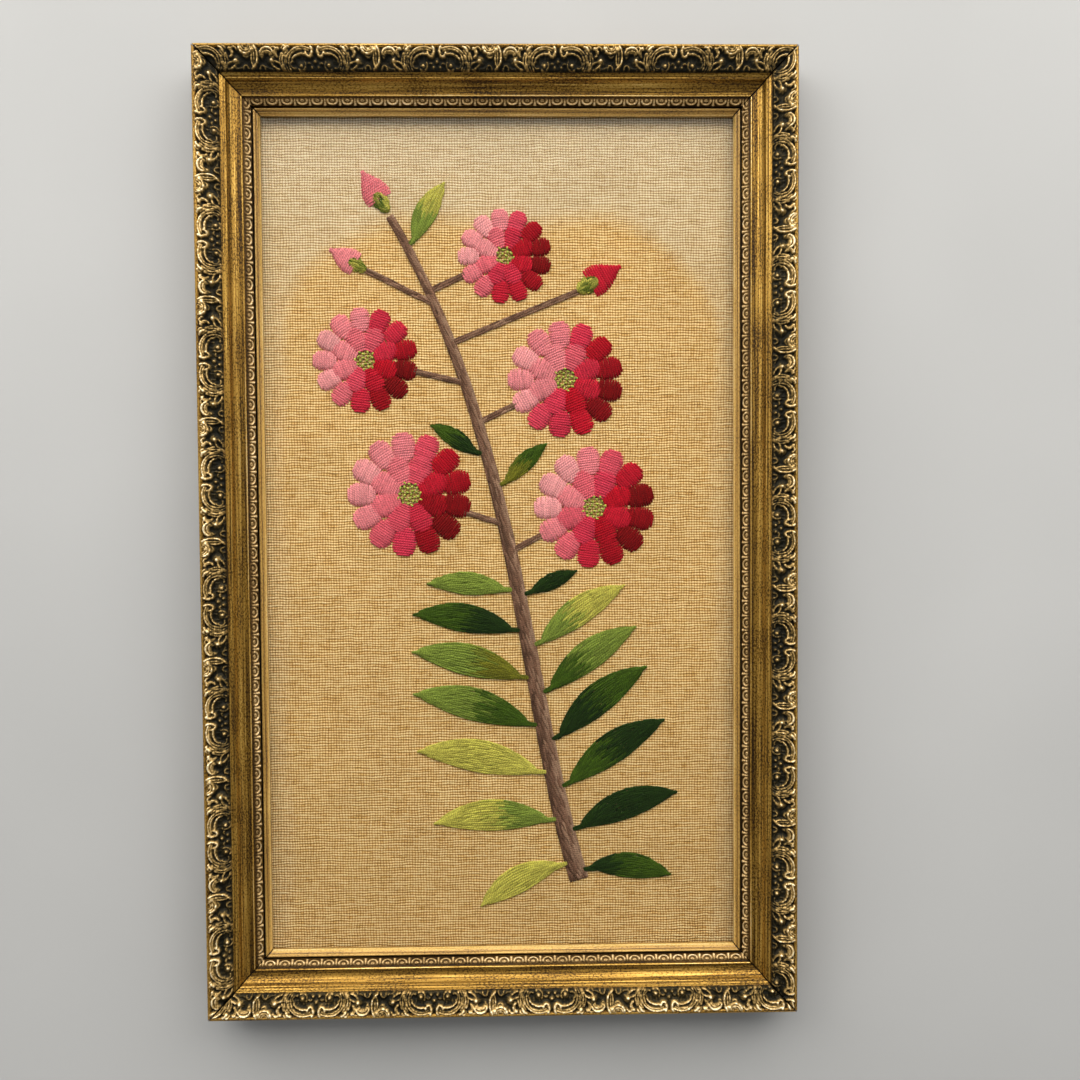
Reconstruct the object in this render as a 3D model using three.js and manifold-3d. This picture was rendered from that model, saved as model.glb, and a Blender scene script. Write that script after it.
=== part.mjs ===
// A framed crewel-embroidered picture, lying on its back.
// Four mitred gilt rails carry applied scroll ornament, an inner slip, a glass pane, the linen ground
// with its raised yarn motifs, and a plain backing board.
// Millimetres, +Z up: X runs across the picture, Y up it, and Z out of its face. The origin is the middle
// of the back, so the rails' backs lie at Z = 0.
import * as THREE from "three";
import { mergeVertices } from "three/addons/utils/BufferGeometryUtils.js";
import Module from "manifold-3d";

const wasm = await Module();
wasm.setup();

// Driving dimensions
const OUTER_WIDTH = 406;
const OUTER_HEIGHT = 660;
const RIM_HEIGHT = 37;
const CLEARANCE = 0.3;
const MITRE_SETBACK = 0.4;
const CUTTER_MARGIN = 5;
const CUTTER_DEPTH = 60;

// Rail moulding: insets are measured inwards from the outer edge, levels up from the back
const RIM_WIDTH = 2.4;
const RIM_INNER_LEVEL = 36.4;
const RIM_OUTER_LEVEL = 35.8;
const RIM_BULGE = 0.5;
const BED_OUTER_LEVEL = 33.4;
const BED_INNER_INSET = 17.3;
const BED_INNER_LEVEL = 29.8;
const STEP_INSET = 20.2;
const STEP_LEVEL = 29.2;
const COVE_END_INSET = 30.4;
const COVE_END_LEVEL = 21.9;
const COVE_HOLLOW_INSET = 22.8;
const COVE_HOLLOW_LEVEL = 22.5;
const QUIRK_INSET = 31.4;
const QUIRK_LEVEL = 21.0;
const LIP_INSET = 35.5;
const LIP_TOP_LEVEL = 17.4;
const OVOLO_BULGE_INSET = 35.1;
const OVOLO_BULGE_LEVEL = 20.8;
const LIP_UNDERSIDE_LEVEL = 16;
const REBATE_INSET = 28;

// Inner slip
const SLIP_OUTER_INSET = REBATE_INSET + CLEARANCE;
const SLIP_GROOVE_INSET = 35.2;
const SLIP_GROOVE_LEVEL = 14.2;
const SLIP_BEAD_INSET = 36.4;
const SLIP_BEAD_INNER_INSET = 36.8;
const SLIP_BEAD_LEVEL = 15.6;
const SLOPE_INSET = 37;
const SLOPE_LEVEL = 14.7;
const SLOPE_BULGE_INSET = 38.9;
const SLOPE_BULGE_LEVEL = 14;
const SIGHT_INSET = 39.5;
const SIGHT_TOP_LEVEL = 11;
const SLIP_BACK_LEVEL = 9.2;

// Applied scroll ornament: one repeat is a mirrored pair of C-scrolls between two leaf sprays
const ORNAMENT_REPEAT = 81;
const ORNAMENT_GROUND = 1.5;
const ORNAMENT_ROWS = 5;
const ORNAMENT_INNER_EDGE = 0.5;
const ORNAMENT_OVERRUN = 6;

// Layers behind the slip, each as large as the rebate
const PANEL_INSET = REBATE_INSET + CLEARANCE;
const GLASS_THICKNESS = 2;
const GLASS_LEVEL = SLIP_BACK_LEVEL - CLEARANCE - GLASS_THICKNESS;
const BOARD_LEVEL = 0.6;
const BOARD_THICKNESS = 2;
const CLOTH_LEVEL = BOARD_LEVEL + BOARD_THICKNESS + CLEARANCE;
const CLOTH_THICKNESS = 1.5;
const YARN_LEVEL = CLOTH_LEVEL + CLOTH_THICKNESS + CLEARANCE;

// Yarn motifs
const OUTER_PETALS = 13;
const OUTER_RING_CROWN = 1.3;
const INNER_PETALS = 8;
const INNER_RING_SHARE = 0.62;
const INNER_RING_CROWN = 1.7;
const POINTS_PER_PETAL = 4;
const PETAL_NOTCH = 0.12;
const BUD_CROWN = 1.8;
const LEAF_CROWN = 1.5;
const STEM_CROWN = 1.7;
const CENTRE_CROWN = 1.9;
const TIP_WIDTH_SHARE = 0.07;
const EDGE_CROWN_SHARE = 0.45;
const FULL_CROWN_HALF_WIDTH = 3.3;
const LEAF_FULLEST = 0.45;
const BUD_FULLEST = 0.42;
const LEAF_SETBACK = 1.6;
const CENTRE_SHARE = 0.26;
const CENTRE_TOP_SHARE = 0.2;
const STALK_GAP = 1;

// Heights of the ornament above its ground at its outer, middle and inner lines, for each place along
// half a repeat, from the middle of a scroll pair to the middle of a leaf spray
const ORNAMENT_SECTIONS = [
  { along: 0, outer: 0.9, middle: 0.5, inner: 1.6 },
  { along: 4.2, outer: 2.2, middle: 1.9, inner: 0.7 },
  { along: 10.5, outer: 2.4, middle: 0.2, inner: 1.9 },
  { along: 17, outer: 1.6, middle: 2.5, inner: 1.8 },
  { along: 22, outer: 2.3, middle: 1.2, inner: 0.6 },
  { along: 28.5, outer: 0.9, middle: 2.1, inner: 0.9 },
  { along: 34.5, outer: 2.3, middle: 0.7, inner: 1.3 },
  { along: ORNAMENT_REPEAT / 2, outer: 1.9, middle: 2.3, inner: 1.7 },
];

// The four sides: length, place of the outer edge's middle, turn, and the distance along the side from its
// middle to the middle of a scroll pair, because each length of moulding was cut where it came
const SIDES = [
  { name: "bottom", length: OUTER_WIDTH, x: 0, y: -OUTER_HEIGHT / 2, turn: 0, phase: 33 },
  { name: "right", length: OUTER_HEIGHT, x: OUTER_WIDTH / 2, y: 0, turn: Math.PI / 2, phase: 5 },
  { name: "top", length: OUTER_WIDTH, x: 0, y: OUTER_HEIGHT / 2, turn: Math.PI, phase: 40 },
  { name: "left", length: OUTER_HEIGHT, x: -OUTER_WIDTH / 2, y: 0, turn: -Math.PI / 2, phase: -39 },
];

// The stem's midline, as the control points of one curve from its foot to its top
const STEM_POINTS = [
  { x: 54, y: -246 },
  { x: 14, y: -110 },
  { x: 14, y: 70 },
  { x: -76, y: 224 },
];
const STEM_FOOT_HALF_WIDTH = 7;
const STEM_TOP_HALF_WIDTH = 3;
const STALK_HALF_WIDTH = 2.2;

// Open flowers: centre, reach of the petals from it, and the share of the stem's length where a stalk leaves
const BLOSSOMS = [
  { name: "blossom_lower_right", x: 66, y: 20, reach: 43, at: 0.49 },
  { name: "blossom_middle_left", x: -64, y: 30, reach: 44, at: 0.53 },
  { name: "blossom_upper_right", x: 46, y: 110, reach: 41, at: 0.68 },
  { name: "blossom_upper_left", x: -94, y: 124, reach: 37, at: 0.74 },
  { name: "blossom_top", x: 4, y: 196, reach: 33, at: 0.88 },
];

// Closed buds: base, direction, length, half width and the share of the stem where its stalk leaves
const BUDS = [
  { name: "bud_top", x: -77, y: 226, angle: 122, length: 34, half: 10, at: 1 },
  { name: "bud_right", x: 54, y: 171, angle: 30, length: 36, half: 11, at: 0.8 },
  { name: "bud_left", x: -92, y: 186, angle: 150, length: 30, half: 9, at: 0.86 },
];

// Leaves: share of the stem's length, side of the stem (1 left, -1 right), lean away from the stem's
// direction in degrees, length, half width, and sideways bend as a share of the length
const LEAVES = [
  { name: "leaf_01", at: 0.015, side: -1, lean: 112, length: 60, half: 9.5, bend: 0.07 },
  { name: "leaf_02", at: 0.03, side: 1, lean: 102, length: 66, half: 10, bend: -0.07 },
  { name: "leaf_03", at: 0.075, side: -1, lean: 84, length: 76, half: 11, bend: 0.06 },
  { name: "leaf_04", at: 0.095, side: 1, lean: 78, length: 84, half: 11.5, bend: -0.06 },
  { name: "leaf_05", at: 0.14, side: -1, lean: 68, length: 84, half: 11.5, bend: 0.05 },
  { name: "leaf_06", at: 0.165, side: 1, lean: 68, length: 90, half: 12, bend: -0.05 },
  { name: "leaf_07", at: 0.21, side: -1, lean: 62, length: 82, half: 11.5, bend: 0.05 },
  { name: "leaf_08", at: 0.235, side: 1, lean: 64, length: 88, half: 12, bend: -0.05 },
  { name: "leaf_09", at: 0.28, side: -1, lean: 64, length: 78, half: 11, bend: 0.05 },
  { name: "leaf_10", at: 0.305, side: 1, lean: 66, length: 82, half: 11.5, bend: -0.05 },
  { name: "leaf_11", at: 0.35, side: -1, lean: 66, length: 74, half: 10.5, bend: 0.05 },
  { name: "leaf_12", at: 0.375, side: 1, lean: 70, length: 74, half: 10.5, bend: -0.05 },
  { name: "leaf_13", at: 0.425, side: -1, lean: 76, length: 38, half: 6.5, bend: 0.03 },
  { name: "leaf_14", at: 0.435, side: 1, lean: 74, length: 58, half: 8.5, bend: -0.05 },
  { name: "leaf_15", at: 0.585, side: -1, lean: 60, length: 42, half: 7, bend: 0.04 },
  { name: "leaf_16", at: 0.635, side: 1, lean: 42, length: 40, half: 7, bend: -0.04 },
  { name: "leaf_17", at: 0.95, side: -1, lean: 56, length: 48, half: 8.5, bend: 0.05 },
];

// Finishes
const FINISH = {
  giltRail: { color: 0x94702c, roughness: 0.45, metalness: 0.6 },
  giltOrnament: { color: 0x7a6236, roughness: 0.5, metalness: 0.6 },
  giltSlip: { color: 0xb48a36, roughness: 0.4, metalness: 0.6 },
  glass: { color: 0xf4f6f4, roughness: 0.03, metalness: 0, transparent: true, opacity: 0.15 },
  linen: { color: 0xc8a068, roughness: 0.95, metalness: 0 },
  pinkYarn: { color: 0xc4405c, roughness: 0.9, metalness: 0 },
  greenYarn: { color: 0x3f6428, roughness: 0.9, metalness: 0 },
  brownYarn: { color: 0x775a50, roughness: 0.9, metalness: 0 },
  board: { color: 0x8a6a4a, roughness: 0.95, metalness: 0 },
};

// A closed geometry as a solid for joining and cutting.
function solidOf(geometry) {
  const bare = geometry.index ? geometry.toNonIndexed() : geometry.clone();
  bare.deleteAttribute("normal");
  bare.deleteAttribute("uv");
  const merged = mergeVertices(bare, 1e-4);
  return new wasm.Manifold(
    new wasm.Mesh({
      numProp: 3,
      vertProperties: merged.attributes.position.array,
      triVerts: new Uint32Array(merged.index.array),
    }),
  );
}

// A solid back as a geometry.
function geometryOf(solid) {
  const mesh = solid.getMesh();
  const made = new THREE.BufferGeometry();
  made.setAttribute("position", new THREE.BufferAttribute(mesh.vertProperties, 3));
  made.setIndex(new THREE.BufferAttribute(mesh.triVerts, 1));
  made.computeVertexNormals();
  return made;
}

// The geometry with each of its points moved to move(x, y, z).
function moved(geometry, move) {
  const position = geometry.attributes.position;
  for (let i = 0; i < position.count; i++) {
    const [x, y, z] = move(position.getX(i), position.getY(i), position.getZ(i));
    position.setXYZ(i, x, y, z);
  }
  return geometry;
}

function meshOf(name, geometry, finish) {
  const mesh = new THREE.Mesh(geometry, new THREE.MeshStandardMaterial(finish));
  mesh.name = name;
  return mesh;
}

// The rail's section, as inset across and level up.
function railSection() {
  const section = new THREE.Shape();
  section.moveTo(0, 0);
  section.lineTo(REBATE_INSET, 0);
  section.lineTo(REBATE_INSET, LIP_UNDERSIDE_LEVEL);
  section.lineTo(LIP_INSET, LIP_UNDERSIDE_LEVEL);
  section.lineTo(LIP_INSET, LIP_TOP_LEVEL);
  section.quadraticCurveTo(OVOLO_BULGE_INSET, OVOLO_BULGE_LEVEL, QUIRK_INSET, QUIRK_LEVEL);
  section.lineTo(COVE_END_INSET, COVE_END_LEVEL);
  section.quadraticCurveTo(COVE_HOLLOW_INSET, COVE_HOLLOW_LEVEL, STEP_INSET, STEP_LEVEL);
  section.lineTo(BED_INNER_INSET, BED_INNER_LEVEL);
  section.lineTo(RIM_WIDTH, BED_OUTER_LEVEL);
  section.lineTo(RIM_WIDTH, RIM_INNER_LEVEL);
  section.quadraticCurveTo(RIM_WIDTH / 2, RIM_HEIGHT + RIM_BULGE, 0, RIM_OUTER_LEVEL);
  return section;
}

// The slip's section: a flat under the rail's lip, a groove, a small bead and a slope to the sight edge.
function slipSection() {
  const section = new THREE.Shape();
  section.moveTo(SLIP_OUTER_INSET, SLIP_BACK_LEVEL);
  section.lineTo(SIGHT_INSET, SLIP_BACK_LEVEL);
  section.lineTo(SIGHT_INSET, SIGHT_TOP_LEVEL);
  section.quadraticCurveTo(SLOPE_BULGE_INSET, SLOPE_BULGE_LEVEL, SLOPE_INSET, SLOPE_LEVEL);
  section.lineTo(SLIP_BEAD_INNER_INSET, SLIP_BEAD_LEVEL);
  section.lineTo(SLIP_BEAD_INSET, SLIP_BEAD_LEVEL);
  section.lineTo(SLIP_GROOVE_INSET, SLIP_GROOVE_LEVEL);
  section.lineTo(SLIP_GROOVE_INSET, LIP_UNDERSIDE_LEVEL - CLEARANCE);
  section.lineTo(SLIP_OUTER_INSET, LIP_UNDERSIDE_LEVEL - CLEARANCE);
  return section;
}

// A section carried along a side of the given length: inset becomes Y, level Z, and the run X.
function run(section, length, steps, curveSegments) {
  const options = { depth: length, steps, curveSegments, bevelEnabled: false };
  const straight = new THREE.ExtrudeGeometry(section, options);
  return moved(straight, (inset, level, along) => [along - length / 2, inset, level]);
}

// Both ends of a side cut to its mitres.
function mitred(geometry, length) {
  const half = length / 2 - MITRE_SETBACK;
  const outline = new THREE.Shape();
  outline.moveTo(-half - CUTTER_MARGIN, -CUTTER_MARGIN);
  outline.lineTo(half + CUTTER_MARGIN, -CUTTER_MARGIN);
  outline.lineTo(half - CUTTER_DEPTH, CUTTER_DEPTH);
  outline.lineTo(CUTTER_DEPTH - half, CUTTER_DEPTH);
  const prism = new THREE.ExtrudeGeometry(outline, { depth: CUTTER_DEPTH, bevelEnabled: false });
  prism.translate(0, 0, -CUTTER_MARGIN);
  return geometryOf(solidOf(geometry).intersect(solidOf(prism)));
}

// The ornament's height above its ground at a place along the side, on one of its rows.
function ornamentHeight(along, row, phase) {
  const repeats = (along - phase) / ORNAMENT_REPEAT;
  const place = ORNAMENT_REPEAT * Math.abs(repeats - Math.round(repeats));
  const next = Math.max(1, ORNAMENT_SECTIONS.findIndex((section) => section.along >= place - 1e-6));
  const [low, high] = [ORNAMENT_SECTIONS[next - 1], ORNAMENT_SECTIONS[next]];
  const share = (place - low.along) / (high.along - low.along);
  const blend = (line) => low[line] + share * (high[line] - low[line]);
  return [0, blend("outer"), blend("middle"), blend("inner"), ORNAMENT_INNER_EDGE][row];
}

// Places along a side where the ornament is modelled, one for each section of each half repeat.
function ornamentPlaces(length, phase) {
  const reach = Math.ceil(length / 2 / ORNAMENT_REPEAT) + 1;
  const places = [];
  for (let repeat = -reach; repeat <= reach; repeat++) {
    const middle = phase + repeat * ORNAMENT_REPEAT;
    for (const { along } of ORNAMENT_SECTIONS.slice(0, -1)) {
      places.push(middle + along);
      if (along > 0) places.push(middle - along);
    }
    places.push(middle + ORNAMENT_REPEAT / 2);
  }
  return places.filter((place) => Math.abs(place) < length / 2 + ORNAMENT_OVERRUN).sort((a, b) => a - b);
}

// The applied ornament strip of one side, a little above its bed on the rail.
function ornamentStrip(length, phase) {
  const outer = RIM_WIDTH + CLEARANCE;
  const inner = BED_INNER_INSET - CLEARANCE;
  const slope = (BED_INNER_LEVEL - BED_OUTER_LEVEL) / (BED_INNER_INSET - RIM_WIDTH);
  const bed = (inset) => BED_OUTER_LEVEL + slope * (inset - RIM_WIDTH) + CLEARANCE;
  const places = ornamentPlaces(length, phase);
  const section = new THREE.Shape();
  section.moveTo(outer, 0);
  section.lineTo(inner, 0);
  for (let row = ORNAMENT_ROWS - 1; row >= 0; row--) {
    section.lineTo(outer + ((inner - outer) * row) / (ORNAMENT_ROWS - 1), ORNAMENT_GROUND);
  }
  const steps = places.length - 1;
  const strip = new THREE.ExtrudeGeometry(section, { depth: steps, steps, bevelEnabled: false });
  moved(strip, (inset, level, step) => {
    const along = places[Math.round(step)];
    const row = Math.round(((inset - outer) / (inner - outer)) * (ORNAMENT_ROWS - 1));
    const raised = level > 0 ? ornamentHeight(along, row, phase) : 0;
    return [along, inset, bed(inset) + level + raised];
  });
  return mitred(strip, length);
}

// A flat panel that fills the rebate.
function panel(level, thickness) {
  const width = OUTER_WIDTH - 2 * PANEL_INSET;
  const height = OUTER_HEIGHT - 2 * PANEL_INSET;
  const slab = new THREE.BoxGeometry(width, height, thickness);
  slab.translate(0, 0, level + thickness / 2);
  return slab;
}

// A raised pad of yarn: a half-round section carried along a midline, scaled to halfWidth(t) and crown.
function yarnPad(midline, halfWidth, crown, steps, sides) {
  const section = new THREE.Shape();
  section.absarc(0, 0, 1, 0, Math.PI, false);
  const options = { depth: 1, steps, curveSegments: sides, bevelEnabled: false };
  return moved(new THREE.ExtrudeGeometry(section, options), (side, up, t) => {
    const point = midline.getPointAt(t);
    const tangent = midline.getTangentAt(t);
    const half = halfWidth(t);
    const fullness = Math.min(1, half / FULL_CROWN_HALF_WIDTH);
    const rise = crown * THREE.MathUtils.lerp(EDGE_CROWN_SHARE, 1, fullness);
    return [point.x - tangent.y * side * half, point.y + tangent.x * side * half, YARN_LEVEL + up * rise];
  });
}

// A midline from a base, with a sideways bend as a share of its length.
function bentLine(x, y, angle, length, bend) {
  const turn = THREE.MathUtils.degToRad(angle);
  const along = new THREE.Vector2(Math.cos(turn), Math.sin(turn));
  const across = new THREE.Vector2(-along.y, along.x);
  const base = new THREE.Vector2(x, y);
  const tip = base.clone().addScaledVector(along, length);
  const middle = base.clone().add(tip).multiplyScalar(0.5).addScaledVector(across, 2 * bend * length);
  return new THREE.QuadraticBezierCurve(base, middle, tip);
}

// Half width of a leaf or bud at t, fullest at the given share of its length.
function bladeWidth(half, fullest) {
  const power = Math.log(0.5) / Math.log(fullest);
  return (t) => half * Math.max(TIP_WIDTH_SHARE, Math.sin(Math.PI * t ** power));
}

// The stem's midline.
function stemLine() {
  return new THREE.CubicBezierCurve(...STEM_POINTS.map(({ x, y }) => new THREE.Vector2(x, y)));
}

function stemHalfWidth(at) {
  return THREE.MathUtils.lerp(STEM_FOOT_HALF_WIDTH, STEM_TOP_HALF_WIDTH, at);
}

function degreesOf(direction) {
  return THREE.MathUtils.radToDeg(direction.angle());
}

// A leaf that springs from the edge of the stem.
function leaf({ at, side, lean, length, half, bend }) {
  const line = stemLine();
  const tangent = line.getTangentAt(at);
  const across = new THREE.Vector2(-tangent.y, tangent.x);
  const base = line.getPointAt(at).addScaledVector(across, side * (stemHalfWidth(at) + LEAF_SETBACK));
  const midline = bentLine(base.x, base.y, degreesOf(tangent) + side * lean, length, bend);
  return yarnPad(midline, bladeWidth(half, LEAF_FULLEST), LEAF_CROWN, 8, 3);
}

// A flat disc with a scalloped edge, one scallop for each petal of a ring.
function petalRing(x, y, radius, petals, height) {
  const outline = new THREE.Shape();
  const points = petals * POINTS_PER_PETAL;
  for (let point = 0; point < points; point++) {
    const turn = (2 * Math.PI * point) / points;
    const notch = PETAL_NOTCH * (1 - Math.abs(Math.sin((petals * turn) / 2)));
    const edge = new THREE.Vector2(radius * (1 - notch), 0).rotateAround(new THREE.Vector2(), turn);
    if (point === 0) outline.moveTo(edge.x, edge.y);
    else outline.lineTo(edge.x, edge.y);
  }
  const ring = new THREE.ExtrudeGeometry(outline, { depth: height, bevelEnabled: false });
  return ring.translate(x, y, YARN_LEVEL);
}

// An open flower: an outer and an inner ring of petals round a raised centre, each a step higher.
function blossom({ x, y, reach }) {
  let made = solidOf(petalRing(x, y, reach, OUTER_PETALS, OUTER_RING_CROWN));
  made = made.add(solidOf(petalRing(x, y, reach * INNER_RING_SHARE, INNER_PETALS, INNER_RING_CROWN)));
  const centre = new THREE.CylinderGeometry(reach * CENTRE_TOP_SHARE, reach * CENTRE_SHARE, CENTRE_CROWN, 12);
  centre.rotateX(Math.PI / 2);
  centre.translate(x, y, YARN_LEVEL + CENTRE_CROWN / 2);
  return geometryOf(made.add(solidOf(centre)));
}

function bud({ x, y, angle, length, half }) {
  return yarnPad(bentLine(x, y, angle, length, 0), bladeWidth(half, BUD_FULLEST), BUD_CROWN, 6, 3);
}

// A stalk from the stem's midline that stops short of its flower or bud.
function stalk({ x, y, reach = 0, at }) {
  const from = stemLine().getPointAt(at);
  const way = new THREE.Vector2(x, y).sub(from);
  const length = way.length() - reach - STALK_GAP;
  const midline = bentLine(from.x, from.y, degreesOf(way), length, 0);
  return yarnPad(midline, () => STALK_HALF_WIDTH, STEM_CROWN, 4, 2);
}

// The stem with its side stalks.
function stem() {
  let made = solidOf(yarnPad(stemLine(), stemHalfWidth, STEM_CROWN, 28, 3));
  for (const row of [...BLOSSOMS, ...BUDS.filter(({ at }) => at < 1)]) {
    made = made.add(solidOf(stalk(row)));
  }
  return geometryOf(made);
}

// One side of the frame, standing at its outer edge and turned to face the middle.
function frameSide({ name, length, x, y, turn, phase }) {
  const side = new THREE.Group();
  side.add(meshOf("rail_" + name, mitred(run(railSection(), length, 1, 6), length), FINISH.giltRail));
  side.add(meshOf("ornament_" + name, ornamentStrip(length, phase), FINISH.giltOrnament));
  side.add(meshOf("slip_" + name, mitred(run(slipSection(), length, 1, 4), length), FINISH.giltSlip));
  side.position.set(x, y, 0);
  side.rotation.z = turn;
  return side;
}

const picture = new THREE.Group();
for (const row of SIDES) picture.add(frameSide(row));
picture.add(meshOf("glass_pane", panel(GLASS_LEVEL, GLASS_THICKNESS), FINISH.glass));
picture.add(meshOf("linen_ground", panel(CLOTH_LEVEL, CLOTH_THICKNESS), FINISH.linen));
picture.add(meshOf("backing_board", panel(BOARD_LEVEL, BOARD_THICKNESS), FINISH.board));
picture.add(meshOf("stem", stem(), FINISH.brownYarn));
for (const row of LEAVES) picture.add(meshOf(row.name, leaf(row), FINISH.greenYarn));
for (const row of BLOSSOMS) picture.add(meshOf(row.name, blossom(row), FINISH.pinkYarn));
for (const row of BUDS) picture.add(meshOf(row.name, bud(row), FINISH.pinkYarn));

export default picture;
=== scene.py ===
"""Looks of a framed crewel embroidery: gilt moulding with cast scrolls, slip, glass, linen and wool.

Tables are in millimetres, and meshes, patterns, floor and lights in metres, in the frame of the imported
solids. The picture lies on its back: X goes to the right, Y up the picture and Z out of its face, with the
back of the frame at Z 0.
"""
import math

import bpy
import numpy as np
from mathutils import Matrix, Vector


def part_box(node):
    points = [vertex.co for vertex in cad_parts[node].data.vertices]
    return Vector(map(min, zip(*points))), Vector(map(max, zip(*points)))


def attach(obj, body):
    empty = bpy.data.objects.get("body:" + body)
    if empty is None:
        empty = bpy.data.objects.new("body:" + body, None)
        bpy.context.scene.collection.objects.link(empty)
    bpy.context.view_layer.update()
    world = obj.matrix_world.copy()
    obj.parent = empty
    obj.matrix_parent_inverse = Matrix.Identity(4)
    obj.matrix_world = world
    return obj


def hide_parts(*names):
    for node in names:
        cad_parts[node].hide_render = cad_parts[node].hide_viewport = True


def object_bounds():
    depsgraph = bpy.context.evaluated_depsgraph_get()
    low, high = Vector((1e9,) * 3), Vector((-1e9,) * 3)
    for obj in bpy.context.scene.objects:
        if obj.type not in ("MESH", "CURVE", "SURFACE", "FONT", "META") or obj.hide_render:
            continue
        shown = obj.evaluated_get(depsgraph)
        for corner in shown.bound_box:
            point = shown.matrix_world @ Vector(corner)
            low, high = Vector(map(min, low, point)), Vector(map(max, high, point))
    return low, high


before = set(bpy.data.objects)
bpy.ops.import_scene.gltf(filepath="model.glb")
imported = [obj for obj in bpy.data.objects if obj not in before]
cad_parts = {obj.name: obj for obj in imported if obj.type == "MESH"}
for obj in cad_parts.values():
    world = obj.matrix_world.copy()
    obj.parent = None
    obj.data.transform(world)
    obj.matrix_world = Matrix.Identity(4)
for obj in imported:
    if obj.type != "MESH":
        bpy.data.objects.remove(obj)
CAD_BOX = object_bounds()
MM = 0.001
chance = np.random.default_rng(11)

# Sizes shared with the solids
LINEN_LOW, LINEN_HIGH = (np.array(corner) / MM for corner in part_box("linen_ground"))
OUTER_WIDTH = (CAD_BOX[1][0] - CAD_BOX[0][0]) / MM
OUTER_HEIGHT = (CAD_BOX[1][1] - CAD_BOX[0][1]) / MM
# Mitre: what each side stops short of it, the width of the dark line beside it and how much darker that is
MITRE_SETBACK, MITRE_SHADE, MITRE_DARK = 0.4, 0.45, 1.2
# Each side reads its own stretch of the gilt's pattern, this far along from the last
PATTERN_SHIFT = 1000
LINEN_TOP = LINEN_HIGH[2]

# Side of the frame: name, quarter turns from the bottom side, place of one pair of scrolls along it, and the
# painted light and shade of its scrolls, lighter or darker for how the light falls on that side
SIDES = [
    ("bottom", 0, 33.0, 0.15),
    ("right", 1, 5.0, -0.05),
    ("top", 2, 40.0, -0.2),
    ("left", -1, -39.0, 0.0),
]


def linear(code):
    """An sRGB hex colour as linear RGBA."""
    parts = np.array([int(code[i:i + 2], 16) for i in (1, 3, 5)]) / 255
    values = np.where(parts <= 0.04045, parts / 12.92, ((parts + 0.055) / 1.055) ** 2.4)
    return (*(float(value) for value in values), 1.0)


def wire(tree, node, inputs):
    """Gives each input of a node its value, or its link from a socket or from another node's first output."""
    for key, value in inputs.items():
        source = value.outputs[0] if isinstance(value, bpy.types.Node) else value
        if isinstance(source, bpy.types.NodeSocket):
            tree.links.new(source, node.inputs[key])
        else:
            node.inputs[key].default_value = source


def add(tree, kind, inputs=None, stops=None, **settings):
    """Adds one shader node with its settings, its ramp's stops and its inputs."""
    made = tree.nodes.new("ShaderNode" + kind)
    for key, value in settings.items():
        setattr(made, key, value)
    if stops:
        elements = made.color_ramp.elements
        while len(elements) < len(stops):
            elements.new(0.5)
        for element, (place, code) in zip(elements, stops):
            element.position = place
            element.color = linear(code)
    wire(tree, made, inputs or {})
    return made


def new_material(name):
    """A material of that name, with its node tree and its Principled shader."""
    material = bpy.data.materials.new(name)
    material.use_nodes = True
    return material, material.node_tree, material.node_tree.nodes["Principled BSDF"]


# Finishes

def antique_gilt(name, stops, metallic, gloss, roughness, speck, streak_width, streak_depth):
    """Bronze paint over a dark bole, rubbed on the ridges: the eye sees pale gold edges, olive-gold flats
    with fine lines along the rail, brown hollows, and dark specks where the paint has gone."""
    material, tree, shader = new_material(name)
    place = add(tree, "TexCoord")
    # Tone: rubbed ridges and dark hollows; on the scrolls also each side's painted light and shade, and on
    # the slip a painted highlight along the bevel
    tone = add(tree, "Attribute", attribute_name="tone").outputs["Fac"]
    # Rubbing lines: long along the rail (90 mm), narrow across it
    lines = add(tree, "Mapping", {"Vector": place.outputs["UV"], "Scale": (1 / 0.09, 1 / streak_width, 1)})
    streak = add(tree, "TexNoise", {"Vector": lines, "Scale": 1.0, "Detail": 3.0, "Roughness": 0.6})
    # Specks are flecks of 1.7 by 1.1 mm that gather a little in patches about 30 mm across
    flecks = add(tree, "Mapping", {"Vector": place.outputs["UV"], "Scale": (1 / 0.0017, 1 / 0.0011, 1)})
    fleck = add(tree, "TexNoise", {"Vector": flecks, "Scale": 1.0, "Detail": 2.0, "Roughness": 0.7})
    patch = add(tree, "TexNoise", {"Vector": place.outputs["Object"], "Scale": 1 / 0.03, "Detail": 2.0})
    gathered = add(tree, "Math", {0: fleck, 1: 0.8, 2: 0.05}, operation="MULTIPLY_ADD")
    weighed = add(tree, "Math", {0: patch, 1: 0.25, 2: gathered}, operation="MULTIPLY_ADD")
    specks = add(tree, "MapRange",
                 {"Value": weighed, "From Min": 0.55, "From Max": 0.68, "To Min": 0.0, "To Max": speck})
    rubbed = add(tree, "Math", {0: streak, 1: streak_depth, 2: 0.53 - streak_depth / 2},
                 operation="MULTIPLY_ADD")
    raised = add(tree, "Math", {0: tone, 1: 0.36, 2: rubbed}, operation="MULTIPLY_ADD")
    left = add(tree, "Math", {0: raised, 1: specks}, operation="SUBTRACT")
    colour = add(tree, "ValToRGB", {"Fac": left}, stops=stops)
    rough = add(tree, "MapRange", {"Value": left, "To Min": roughness + 0.25, "To Max": roughness})
    grain = add(tree, "Math", {0: fleck, 1: 0.5, 2: streak}, operation="MULTIPLY_ADD")
    bump = add(tree, "Bump", {"Height": grain, "Strength": 0.25, "Distance": 0.0003})
    wire(tree, shader, {"Base Color": colour, "Roughness": rough, "Normal": bump, "Metallic": metallic,
                        "Specular IOR Level": gloss})
    return material


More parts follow.
